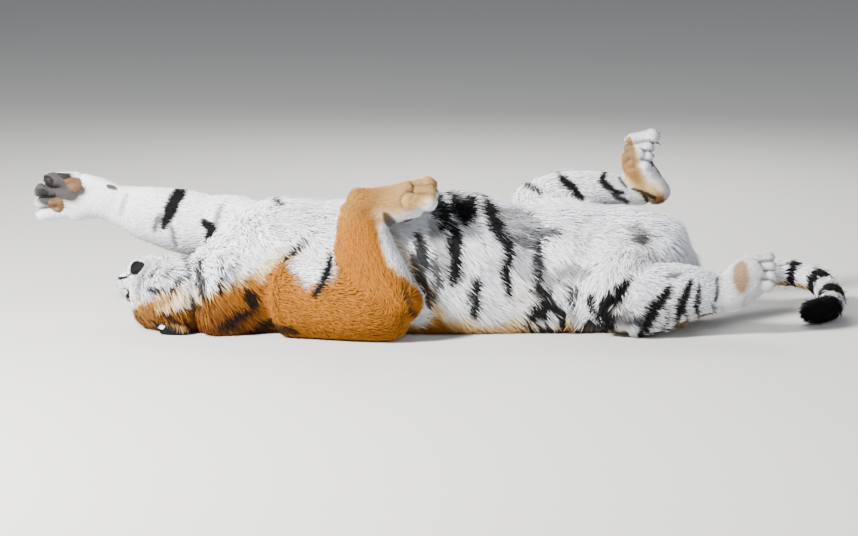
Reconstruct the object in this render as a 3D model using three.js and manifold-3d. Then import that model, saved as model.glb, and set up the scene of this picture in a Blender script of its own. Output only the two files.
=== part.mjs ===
// A Siberian tiger lying on its back, one closed solid for each part of the body.
// Millimetres. x runs from the nose to the tail, y away from the viewer, z up. The back rests on z = 0,
// so the tiger's belly faces up, its right side has y below zero and its left side has y above zero.
import * as THREE from "three";
import Module from "manifold-3d";

const wasm = await Module();
wasm.setup();

const clearance = 0.4; // space left between two parts that meet
const floorLevel = 0; // the flats under the back, head, elbow, thigh and tail
const quarterTurn = Math.PI / 2;
const roundSteps = 2; // rings of each rounded end
const headingStep = 0.02; // how far either side of a place, in rows, its direction is read
const toeSize = { around: 7, steps: 2, end: 0.9 }; // facets of a toe, and its end against its middle
const ballSize = { around: 8, steps: 5 }; // facets of an eye and of the nose

// Every limb is a table of rows from the body outwards: the spine point x, y, z, then the half sizes
// sideways, towards the top and towards the bottom of the section.
const trunkRows = [
  [-500, -30, 162, 172, 204, 180],
  [-420, -12, 168, 200, 222, 188],
  [-320, 0, 172, 216, 228, 194],
  [-190, 0, 172, 226, 232, 196],
  [-50, 0, 172, 230, 238, 196],
  [90, 0, 172, 228, 248, 196],
  [220, 0, 172, 222, 250, 196],
  [320, 0, 170, 213, 232, 194],
  [430, 0, 168, 206, 216, 192],
  [560, 0, 165, 205, 212, 188],
  [690, 0, 162, 202, 216, 182],
  [780, 5, 158, 186, 212, 176],
  [850, 8, 150, 160, 194, 164],
  [905, 10, 142, 128, 124, 150],
];
// Muscle and bone that shape the trunk: x, y, z, reach and height of each form.
const trunkForms = [
  [-400, 110, 350, 110, 16],
  [-400, -110, 350, 110, 16],
  [-250, 0, 412, 110, -10],
  [-330, 215, 170, 120, 12],
  [-120, 225, 200, 150, 10],
  [-120, -225, 200, 150, 10],
  [150, 0, 430, 170, 6],
  [400, 210, 230, 120, -20],
  [400, -210, 230, 120, -16],
  [350, 130, 360, 90, -14],
  [350, -130, 360, 90, -14],
  [690, 195, 190, 120, 12],
  [640, -120, 350, 110, -30],
  [560, 0, 390, 90, 8],
  [900, -90, 230, 90, -16],
];
const neckRows = [
  [-630, -125, 122, 124, 120, 136],
  [-575, -102, 130, 142, 152, 146],
  [-510, -66, 142, 166, 186, 158],
  [-430, -34, 156, 186, 206, 168],
];
const tailRows = [
  [860, 10, 78, 46, 46, 46],
  [960, 40, 74, 50, 50, 50],
  [1050, 130, 84, 48, 48, 48],
  [1150, 250, 104, 46, 46, 46],
  [1270, 320, 112, 46, 46, 46],
  [1370, 268, 100, 46, 46, 46],
  [1412, 158, 72, 46, 46, 46],
  [1400, 50, 50, 46, 46, 46],
  [1332, -10, 42, 42, 42, 46],
];

const upperArmLeftRows = [
  [-360, 130, 190, 92, 110, 110],
  [-450, 165, 235, 90, 118, 118],
  [-540, 192, 272, 84, 116, 116],
  [-620, 210, 290, 74, 106, 106],
];
const forearmLeftRows = [
  [-640, 213, 288, 72, 104, 104],
  [-726, 210, 304, 70, 106, 106],
  [-839, 202, 331, 62, 90, 90],
  [-905, 196, 351, 54, 74, 74],
  [-968, 190, 370, 48, 62, 62],
];
const upperArmRightRows = [
  [-335, -190, 130, 108, 128, 136],
  [-210, -228, 122, 106, 128, 128],
  [-90, -256, 112, 102, 118, 120],
  [-10, -270, 102, 88, 98, 108],
];
const forearmRightRows = [
  [0, -282, 104, 82, 84, 88],
  [-68, -270, 180, 80, 106, 106],
  [-106, -250, 268, 72, 100, 100],
  [-118, -234, 355, 60, 83, 83],
  [-122, -226, 420, 54, 69, 69],
];

const thighLeftRows = [
  [745, 118, 190, 96, 122, 122],
  [650, 150, 238, 98, 122, 122],
  [555, 180, 292, 88, 104, 104],
  [476, 198, 340, 72, 72, 78],
];
const shankLeftRows = [
  [436, 205, 362, 60, 72, 78],
  [520, 208, 401, 58, 66, 70],
  [620, 206, 414, 52, 57, 57],
  [720, 201, 408, 44, 52, 52],
  [800, 197, 398, 38, 44, 44],
];
const thighRightRows = [
  [780, -108, 158, 88, 112, 118],
  [728, -165, 150, 104, 126, 128],
  [664, -206, 124, 94, 110, 124],
];
const shankRightRows = [
  [735, -214, 122, 84, 112, 118],
  [800, -210, 128, 78, 110, 112],
  [870, -207, 140, 70, 98, 98],
  [950, -205, 144, 60, 78, 78],
  [1020, -203, 132, 50, 58, 58],
];

// The paws: a palm or instep by rows, then for each toe the knuckle, the tip and the half size.
const palmLeftRows = [
  [-950, 192, 370, 46, 62, 62],
  [-1000, 187, 383, 46, 70, 70],
  [-1060, 182, 390, 46, 83, 78],
  [-1112, 178, 390, 38, 77, 72],
];
const toesLeftFront = [
  [-1083, 178, 441, -1138, 172, 442, 31],
  [-1098, 180, 409, -1173, 172, 408, 31],
  [-1100, 180, 375, -1182, 172, 371, 31],
  [-1092, 178, 345, -1167, 172, 337, 30],
];
const palmRightRows = [
  [-122, -226, 418, 54, 62, 50],
  [-60, -226, 426, 58, 58, 60],
  [0, -226, 432, 62, 60, 64],
  [42, -226, 446, 60, 60, 62],
];
const toesRightFront = [
  [50, -272, 440, 90, -270, 438, 30],
  [56, -243, 460, 93, -243, 462, 30],
  [56, -212, 474, 92, -212, 482, 30],
  [48, -184, 476, 82, -184, 484, 30],
];
const instepLeftRows = [
  [848, 197, 400, 44, 42, 42],
  [811, 197, 437, 48, 48, 48],
  [781, 195, 484, 52, 52, 52],
  [769, 193, 528, 48, 47, 47],
];
const toesLeftHind = [
  [774, 206, 570, 822, 208, 582, 27],
  [770, 196, 546, 806, 196, 550, 27],
  [768, 184, 520, 803, 182, 519, 27],
  [771, 173, 496, 797, 170, 491, 27],
];
const instepRightRows = [
  [1030, -203, 128, 48, 54, 54],
  [1070, -202, 156, 50, 66, 66],
  [1108, -200, 190, 50, 68, 68],
  [1130, -198, 204, 44, 60, 60],
];
const toesRightHind = [
  [1120, -188, 240, 1162, -184, 246, 25],
  [1126, -198, 218, 1166, -196, 221, 25],
  [1126, -208, 194, 1166, -208, 193, 25],
  [1120, -216, 172, 1160, -218, 167, 25],
];

// The head is set out from the nose: distance back from the nose tip, across to either side, and up
// towards the forehead. It lies on its forehead with the muzzle turned away from the viewer.
const headStart = new THREE.Vector3(-904, 95, 150); // at mouth height under the nose tip
const headTurn = THREE.MathUtils.degToRad(37);
const headPitch = THREE.MathUtils.degToRad(5);
const headForward = new THREE.Vector3(
  -Math.cos(headTurn) * Math.cos(headPitch),
  Math.sin(headTurn) * Math.cos(headPitch),
  Math.sin(headPitch),
);
const headAcross = new THREE.Vector3(-Math.sin(headTurn), -Math.cos(headTurn), 0);
const headUp = headAcross.clone().cross(headForward);
// Back from the nose, half width, height of the top line, depth of the jaw line.
const headProfile = [
  [18, 38, 58, 4],
  [30, 51, 68, 17],
  [52, 62, 77, 40],
  [80, 70, 88, 61],
  [108, 85, 106, 71],
  [138, 105, 126, 77],
  [185, 128, 138, 85],
  [240, 142, 138, 92],
  [290, 142, 136, 96],
  [335, 124, 120, 98],
];
// Back, across, up, reach and height of each form on the head; all but the first three are on both sides.
const headForms = [
  [74, 0, -62, 30, 8],
  [92, 0, 90, 26, -8],
  [190, 0, -96, 60, 6],
  [34, 42, 24, 26, 9],
  [70, 46, 66, 26, -5],
  [98, 69, 58, 26, -17],
  [128, 46, 108, 24, 9],
  [150, 106, 40, 32, 6],
  [84, 52, -58, 24, 19],
  [140, 92, -52, 34, -22],
  [160, 100, 105, 40, 8],
  [250, 134, -24, 60, 14],
];
const eyePlace = [98, 61, 51];
const eyeRadius = 17;
const noseSize = [28, 18, 13];
const nosePlace = [9, 0, 46];
// Each ear is a leaf, folded forwards along the floor: back, across, up, half width and half thickness.
const earRows = [
  [352, 90, 85, 28, 10, 10],
  [338, 103, 96, 41, 9, 9],
  [316, 117, 102, 42, 8, 8],
  [294, 130, 106, 32, 7, 7],
];
const earCup = 10; // how far the middle of an ear stands off its edges
const earLean = { across: -0.4, up: -0.92 }; // the way across an ear's width

const farAxis = new THREE.Vector3(0, 1, 0);
const upAxis = new THREE.Vector3(0, 0, 1);

// Row value at a place between rows, on a smooth curve through all of them.
function rowAt(rows, place) {
  const last = rows.length - 1;
  const start = Math.min(Math.floor(place), last - 1);
  const t = place - start;
  const a = rows[Math.max(start - 1, 0)];
  const b = rows[start];
  const c = rows[start + 1];
  const d = rows[Math.min(start + 2, last)];
  return b.map((value, k) => {
    const slope = (c[k] - a[k]) * t;
    const bend = (2 * a[k] - 5 * value + 4 * c[k] - d[k]) * t * t;
    const twist = (3 * value - a[k] - 3 * c[k] + d[k]) * t * t * t;
    return value + 0.5 * (slope + bend + twist);
  });
}

// Points and triangles of a limb: rings of points round its spine, with both ends rounded off.
// grow makes the same limb larger all over, to cut the space for it out of its neighbours.
function limbSurface(limb, grow) {
  const { rows, around, steps, startRound, endRound } = limb;
  const first = limb.first ?? 0;
  const last = limb.last ?? rows.length - 1;
  const lowest = floorLevel - grow;
  const startPull = startRound > 0 ? -(startRound + grow) : clearance / 2 - grow;
  const endPull = endRound > 0 ? endRound + grow : grow - clearance / 2;
  const rings = [];
  for (let k = 1; k <= roundSteps && startRound > 0; k += 1) {
    const turn = (quarterTurn * k) / roundSteps;
    rings.push({ place: first, pull: startPull * Math.cos(turn), size: Math.sin(turn) });
  }
  for (let k = startRound > 0 ? 1 : 0; k <= steps; k += 1) {
    const flatStart = k === 0 ? startPull : 0;
    const flatEnd = k === steps && endRound === 0 ? endPull : 0;
    rings.push({ place: first + ((last - first) * k) / steps, pull: flatStart + flatEnd, size: 1 });
  }
  for (let k = roundSteps - 1; k >= 1 && endRound > 0; k -= 1) {
    const turn = (quarterTurn * k) / roundSteps;
    rings.push({ place: last, pull: endPull * Math.cos(turn), size: Math.sin(turn) });
  }
  const points = [];
  const addPoint = (point) => {
    point.z = Math.max(point.z, lowest);
    points.push(point);
  };
  const spine = (place) => new THREE.Vector3(...rowAt(rows, place));
  const heading = (place) => {
    const from = Math.max(place - headingStep, 0);
    const to = Math.min(place + headingStep, rows.length - 1);
    return spine(to).sub(spine(from)).normalize();
  };
  addPoint(spine(first).addScaledVector(heading(first), startPull));
  for (const ring of rings) {
    const along = heading(ring.place);
    const across = limb.sideways.clone().addScaledVector(along, -limb.sideways.dot(along)).normalize();
    const upwards = along.clone().cross(across);
    const [, , , side, top, bottom] = rowAt(rows, ring.place);
    const centre = spine(ring.place).addScaledVector(along, ring.pull);
    for (let k = 0; k < around; k += 1) {
      const angle = (2 * Math.PI * (k + 0.5)) / around;
      const c = Math.cos(angle);
      const s = Math.sin(angle);
      const full = s > 0 ? limb.fullness : limb.underFullness ?? limb.fullness;
      const square = (Math.abs(c) ** full + Math.abs(s) ** full) ** (-1 / full);
      const outwards = across.clone().multiplyScalar(c * square * (side + grow));
      outwards.addScaledVector(upwards, s * square * ((s > 0 ? top : bottom) + grow));
      const point = centre.clone().addScaledVector(outwards, ring.size);
      point.addScaledVector(upwards, (limb.cup ?? 0) * c * c * ring.size);
      const away = outwards.normalize();
      for (const [x, y, z, reach, height] of limb.forms ?? []) {
        const distance = point.distanceTo(new THREE.Vector3(x, y, z));
        point.addScaledVector(away, height * Math.exp(-((distance / reach) ** 2)));
      }
      addPoint(point);
    }
  }
  addPoint(spine(last).addScaledVector(heading(last), endPull));
  const faces = [];
  const end = points.length - 1;
  for (let k = 0; k < around; k += 1) {
    const next = (k + 1) % around;
    faces.push([0, 1 + next, 1 + k]);
    for (let ring = 0; ring < rings.length - 1; ring += 1) {
      const near = 1 + ring * around;
      const far = near + around;
      faces.push([near + k, near + next, far + next]);
      faces.push([near + k, far + next, far + k]);
    }
    const outer = end - around;
    faces.push([outer + k, outer + next, end]);
  }
  return { points, faces };
}

// A ball or egg: half sizes along the three given directions.
function eggSurface(egg, grow) {
  const { centre, axes, sizes, around, steps } = egg;
  const points = [];
  const addPoint = (a, b, c) => {
    const point = centre.clone();
    [a, b, c].forEach((value, k) => point.addScaledVector(axes[k], value * (sizes[k] + grow)));
    points.push(point);
  };
  addPoint(0, 0, 1);
  for (let ring = 1; ring < steps; ring += 1) {
    const down = (Math.PI * ring) / steps;
    for (let k = 0; k < around; k += 1) {
      const angle = (2 * Math.PI * k) / around;
      addPoint(Math.cos(angle) * Math.sin(down), Math.sin(angle) * Math.sin(down), Math.cos(down));
    }
  }
  addPoint(0, 0, -1);
  const faces = [];
  const end = points.length - 1;
  for (let k = 0; k < around; k += 1) {
    const next = (k + 1) % around;
    faces.push([0, 1 + k, 1 + next]);
    for (let ring = 0; ring < steps - 2; ring += 1) {
      const near = 1 + ring * around;
      const far = near + around;
      faces.push([near + k, far + next, near + next]);
      faces.push([near + k, far + k, far + next]);
    }
    const outer = end - around;
    faces.push([outer + k, end, outer + next]);
  }
  return { points, faces };
}

// The closed solid of a surface, turned inside out when its faces point inwards.
function solid({ points, faces }) {
  let volume = 0;
  for (const [a, b, c] of faces) {
    volume += points[a].dot(points[b].clone().cross(points[c]));
  }
  const outwards = volume > 0 ? faces : faces.map(([a, b, c]) => [a, c, b]);
  const mesh = new wasm.Mesh({
    numProp: 3,
    vertProperties: new Float32Array(points.flatMap((point) => point.toArray())),
    triVerts: new Uint32Array(outwards.flat()),
  });
  return new wasm.Manifold(mesh);
}

// One manifold for a ball, or for a limb together with its toes.
function partSolid(part, grow) {
  if (!part.rows) {
    return solid(eggSurface(part, grow));
  }
  let shape = solid(limbSurface(part, grow));
  for (const [x1, y1, z1, x2, y2, z2, half] of part.toes ?? []) {
    const end = half * toeSize.end;
    const toe = {
      rows: [
        [x1, y1, z1, end, end, end],
        [(x1 + x2) / 2, (y1 + y2) / 2, (z1 + z2) / 2, half, half, half],
        [x2, y2, z2, end, end, end],
      ],
      sideways: farAxis,
      around: toeSize.around,
      steps: toeSize.steps,
      startRound: end,
      endRound: end,
      fullness: 2,
    };
    shape = shape.add(solid(limbSurface(toe, grow)));
  }
  return shape;
}

// A point given in head measures: back from the nose, across and up towards the forehead.
function headPoint(back, across, up) {
  const point = headStart.clone().addScaledVector(headForward, -back);
  return point.addScaledVector(headAcross, across).addScaledVector(headUp, up);
}

const bothSides = (form) => (form[1] === 0 ? [form] : [form, [form[0], -form[1], ...form.slice(2)]]);
const head = {
  rows: headProfile.map(([back, side, top, jaw]) => [...headPoint(back, 0, 0).toArray(), side, top, jaw]),
  sideways: headAcross,
  around: 24,
  steps: 19,
  startRound: 10,
  endRound: 45,
  fullness: 3.2,
  underFullness: 2.5,
  forms: headForms.flatMap(bothSides).map(([back, across, up, reach, height]) => [
    ...headPoint(back, across, up).toArray(),
    reach,
    height,
  ]),
};

function ear(side) {
  const width = headAcross.clone().multiplyScalar(earLean.across * side);
  width.addScaledVector(headUp, earLean.up);
  return {
    rows: earRows.map(([back, across, up, ...sizes]) => [
      ...headPoint(back, across * side, up).toArray(),
      ...sizes,
    ]),
    sideways: width,
    around: 10,
    steps: 4,
    startRound: 14,
    endRound: 16,
    fullness: 2,
    cup: earCup * side,
  };
}

function eye(side) {
  const [back, across, up] = eyePlace;
  return {
    centre: headPoint(back, across * side, up),
    axes: [headAcross, headUp, headForward],
    sizes: [eyeRadius, eyeRadius, eyeRadius],
    ...ballSize,
  };
}

const nose = {
  centre: headPoint(...nosePlace),
  axes: [headAcross, headUp, headForward],
  sizes: noseSize,
  ...ballSize,
};

const limb = (rows, around, steps, startRound, endRound, more = {}) => ({
  rows,
  around,
  steps,
  startRound,
  endRound,
  sideways: farAxis,
  fullness: 2.2,
  ...more,
});
const tailPiece = (first, last, startRound, endRound) => limb(tailRows, 10, 6, startRound, endRound, {
  first,
  last,
  sideways: upAxis,
  fullness: 2,
});

// Each part keeps clear of every part above it in this list.
const parts = {
  eye_right: eye(1),
  eye_left: eye(-1),
  nose,
  ear_right: ear(1),
  ear_left: ear(-1),
  head,
  trunk: limb(trunkRows, 22, 19, 60, 44, { underFullness: 3.4, forms: trunkForms }),
  neck: limb(neckRows, 18, 4, 50, 60, { underFullness: 3.4 }),
  forepaw_left: limb(palmLeftRows, 12, 4, 18, 30, { toes: toesLeftFront }),
  forepaw_right: limb(palmRightRows, 12, 4, 44, 30, { toes: toesRightFront }),
  hind_foot_left: limb(instepLeftRows, 12, 5, 38, 36, { toes: toesLeftHind }),
  hind_foot_right: limb(instepRightRows, 12, 4, 34, 30, { toes: toesRightHind }),
  forearm_left: limb(forearmLeftRows, 14, 6, 50, 20),
  forearm_right: limb(forearmRightRows, 14, 6, 60, 20),
  shank_left: limb(shankLeftRows, 14, 7, 74, 26),
  shank_right: limb(shankRightRows, 14, 5, 60, 30),
  upper_arm_left: limb(upperArmLeftRows, 14, 4, 70, 50),
  upper_arm_right: limb(upperArmRightRows, 16, 5, 70, 56),
  thigh_left: limb(thighLeftRows, 14, 5, 70, 50),
  thigh_right: limb(thighRightRows, 14, 3, 50, 84),
  tail_root: tailPiece(0, 2.6, 30, 0),
  tail_middle: tailPiece(2.6, 5.2, 0, 0),
  tail_tip: tailPiece(5.2, 8, 0, 40),
};

// Colour and roughness of each kind of part; fur is the rest.
const finishes = {
  eye: { color: 0x6b5a2c, roughness: 0.15 },
  nose: { color: 0xb98a7c, roughness: 0.5 },
  ear: { color: 0x2c2622, roughness: 0.9 },
  head: { color: 0xe8e2d6, roughness: 0.9 },
  fur: { color: 0xd9a066, roughness: 0.9 },
};

const tiger = new THREE.Group();
const placed = [];
for (const [name, part] of Object.entries(parts)) {
  let shape = partSolid(part, 0);
  for (const space of placed) {
    shape = shape.subtract(space);
  }
  placed.push(partSolid(part, clearance));
  const { vertProperties, triVerts } = shape.getMesh();
  const geometry = new THREE.BufferGeometry();
  geometry.setAttribute("position", new THREE.BufferAttribute(new Float32Array(vertProperties), 3));
  geometry.setIndex(new THREE.BufferAttribute(new Uint32Array(triVerts), 1));
  geometry.computeVertexNormals();
  const finish = finishes[name.split("_")[0]] ?? finishes.fur;
  const mesh = new THREE.Mesh(geometry, new THREE.MeshStandardMaterial({ ...finish, metalness: 0 }));
  mesh.name = name;
  tiger.add(mesh);
}

export default tiger;
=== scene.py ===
from math import radians

import bpy
import numpy as np
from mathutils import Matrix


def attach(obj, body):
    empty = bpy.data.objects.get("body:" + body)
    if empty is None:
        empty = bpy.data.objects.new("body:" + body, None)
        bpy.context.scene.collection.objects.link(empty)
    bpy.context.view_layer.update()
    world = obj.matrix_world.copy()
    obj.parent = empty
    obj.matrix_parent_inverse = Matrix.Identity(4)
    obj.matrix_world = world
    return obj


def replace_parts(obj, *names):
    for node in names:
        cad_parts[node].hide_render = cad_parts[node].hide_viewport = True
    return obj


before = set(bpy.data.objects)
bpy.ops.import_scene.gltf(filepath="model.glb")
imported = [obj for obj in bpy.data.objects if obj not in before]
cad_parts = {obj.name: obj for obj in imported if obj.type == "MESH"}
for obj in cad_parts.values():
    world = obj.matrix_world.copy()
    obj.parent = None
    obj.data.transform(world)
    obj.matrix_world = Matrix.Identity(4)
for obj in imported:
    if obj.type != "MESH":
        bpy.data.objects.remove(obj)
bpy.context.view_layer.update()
mm = 0.001
quarterTurn = np.pi / 2



def addObject(name, data):
    item = bpy.data.objects.new(name, data)
    bpy.context.collection.objects.link(item)
    return item


# aim and distance in millimetres, the farthest thing seen in metres
cameraPlace = {
    "aim": (94.0, 0.0, 183.0), "distance": 9000.0, "elevation": 10.0, "lens": 117.0, "farthest": 60,
}


def makeCamera():
    elevation = radians(cameraPlace["elevation"])
    back = np.array([0, -np.cos(elevation), np.sin(elevation)])
    camera = addObject("camera", bpy.data.cameras.new("camera"))
    camera.location = (cameraPlace["aim"] + cameraPlace["distance"] * back) * mm
    camera.rotation_euler = (quarterTurn - elevation, 0, 0)
    camera.data.lens = cameraPlace["lens"]
    camera.data.clip_end = cameraPlace["farthest"]
    bpy.context.scene.camera = camera


makeCamera()


# small helpers on arrays of points
def unit(vectors):
    return vectors / np.maximum(np.linalg.norm(vectors, axis=-1, keepdims=True), 1e-9)


def dot(a, b):
    return (a * b).sum(-1)


def ease(values, low, high):
    # 0 at low, 1 at high, and an S curve between: 3t^2 - 2t^3
    t = np.clip((values - low) / (high - low), 0, 1)
    return t * t * (3 - 2 * t)


def blend(a, b, share):
    return a + (b - a) * share[..., None]


def squared(direction, axis):
    # the part of a direction that is square to an axis, at length 1
    direction = np.asarray(direction, float)
    return unit(direction - axis * dot(direction, axis)[..., None])


def circle(count, start=0.0):
    return 2 * np.pi * (np.arange(count) + start) / count


latticeSize = 32
lattice = np.random.default_rng(5).random((latticeSize,) * 3)


def softNoise(points, size, shift=0.0):
    # random numbers at the corners of a lattice of cubes, eased from corner to corner; -1 to 1
    place = points / size + shift
    corner = np.floor(place).astype(int)
    inside = place - corner
    inside = inside * inside * (3 - 2 * inside)
    total = np.zeros(len(points))
    for step in np.ndindex(2, 2, 2):
        weight = np.prod(np.where(step, inside, 1 - inside), axis=1)
        total += weight * lattice[tuple(((corner + step) % latticeSize).T)]
    return total * 2 - 1


def bell(values, width):
    # 1 at 0, falling away evenly on both sides: exp(-(value / width)^2)
    return np.exp(-((values / width) ** 2))


def ballPush(points, centre, reach):
    # a soft bump round a centre, a bell over the distance
    return bell(np.linalg.norm(points - centre, axis=-1), reach)


def ballSum(points, balls):
    # each ball is x, y, z and reach
    return sum(ballPush(points, centre, reach) for *centre, reach in balls)


def bothSides(forms):
    # a form is back, across, up and more; across 0 is on the middle line, and any other is on both sides
    return [(b, a * side, *rest) for b, a, *rest in forms for side in ((1, -1) if a else (1,))]


# The body's measures are the same as the solids'.
# A row is the spine point x, y, z, then the half sizes sideways, towards the top and towards the bottom.
# coat is the depth of hair over the skin on those three sides, hair its length at the first and last row.
farAxis = np.array([0.0, 1.0, 0.0])
upAxis = np.array([0.0, 0.0, 1.0])

head = {
    "start": (-904, 95, 150),  # at mouth height under the nose tip
    "turn": radians(37),
    "pitch": radians(5),
    # back from the nose, half width, height of the top line, depth of the jaw line
    "profile": [
        (18, 38, 58, 4), (30, 51, 68, 17), (52, 62, 77, 40), (80, 70, 88, 61), (108, 85, 106, 71),
        (138, 105, 126, 77), (185, 128, 138, 85), (240, 142, 138, 92), (290, 142, 136, 96),
        (335, 124, 120, 98),
    ],
    # back, across, up, reach and height of each form, on both sides where across is not 0
    "forms": [
        (74, 0, -62, 30, 8), (92, 0, 90, 26, -8), (190, 0, -96, 60, 6), (34, 42, 24, 26, 9),
        (70, 46, 66, 26, -5), (98, 69, 58, 26, -17), (128, 46, 108, 24, 9), (150, 106, 40, 32, 6),
        (84, 52, -58, 24, 19), (140, 92, -52, 34, -22), (160, 100, 105, 40, 8), (250, 134, -24, 60, 14),
    ],
    "eye": (98, 61, 51),
    "eyeRadius": 17,
    "nose": (9, 0, 46),
}
turnCos, turnSin = np.cos(head["turn"]), np.sin(head["turn"])
pitchCos, pitchSin = np.cos(head["pitch"]), np.sin(head["pitch"])
headForward = np.array([-turnCos * pitchCos, turnSin * pitchCos, pitchSin])
headAcross = np.array([-turnSin, -turnCos, 0.0])
headUp = np.cross(headAcross, headForward)
headAxes = np.array([-headForward, headAcross, headUp])


def headPoint(back, across, up):
    return np.array(head["start"], float) + np.stack([back, across, up], -1) @ headAxes


def headMeasures(points):
    # back from the nose, across and up towards the forehead, of points in the room
    return (points - head["start"]) @ headAxes.T


headRows = [(*headPoint(b, 0.0, 0.0), side, top, jaw) for b, side, top, jaw in head["profile"]]
headForms = [(*headPoint(b, a, u), reach, height) for b, a, u, reach, height in bothSides(head["forms"])]

earRows = [(352, 90, 85, 28, 10), (338, 103, 96, 41, 9), (316, 117, 102, 42, 8), (294, 130, 106, 32, 7)]
earLean = {"across": -0.4, "up": -0.92, "cup": 10}


def earLimb(side):
    return {
        "rows": [(*headPoint(b, a * side, u), wide, thick, thick) for b, a, u, wide, thick in earRows],
        "sideways": headAcross * earLean["across"] * side + headUp * earLean["up"],
        "rounds": (14, 16), "fullness": (2, 2), "cup": earLean["cup"] * side,
        "coat": (4, 2.5, 2.5), "hair": (10, 10), "around": 40, "steps": 24,
    }


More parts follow.
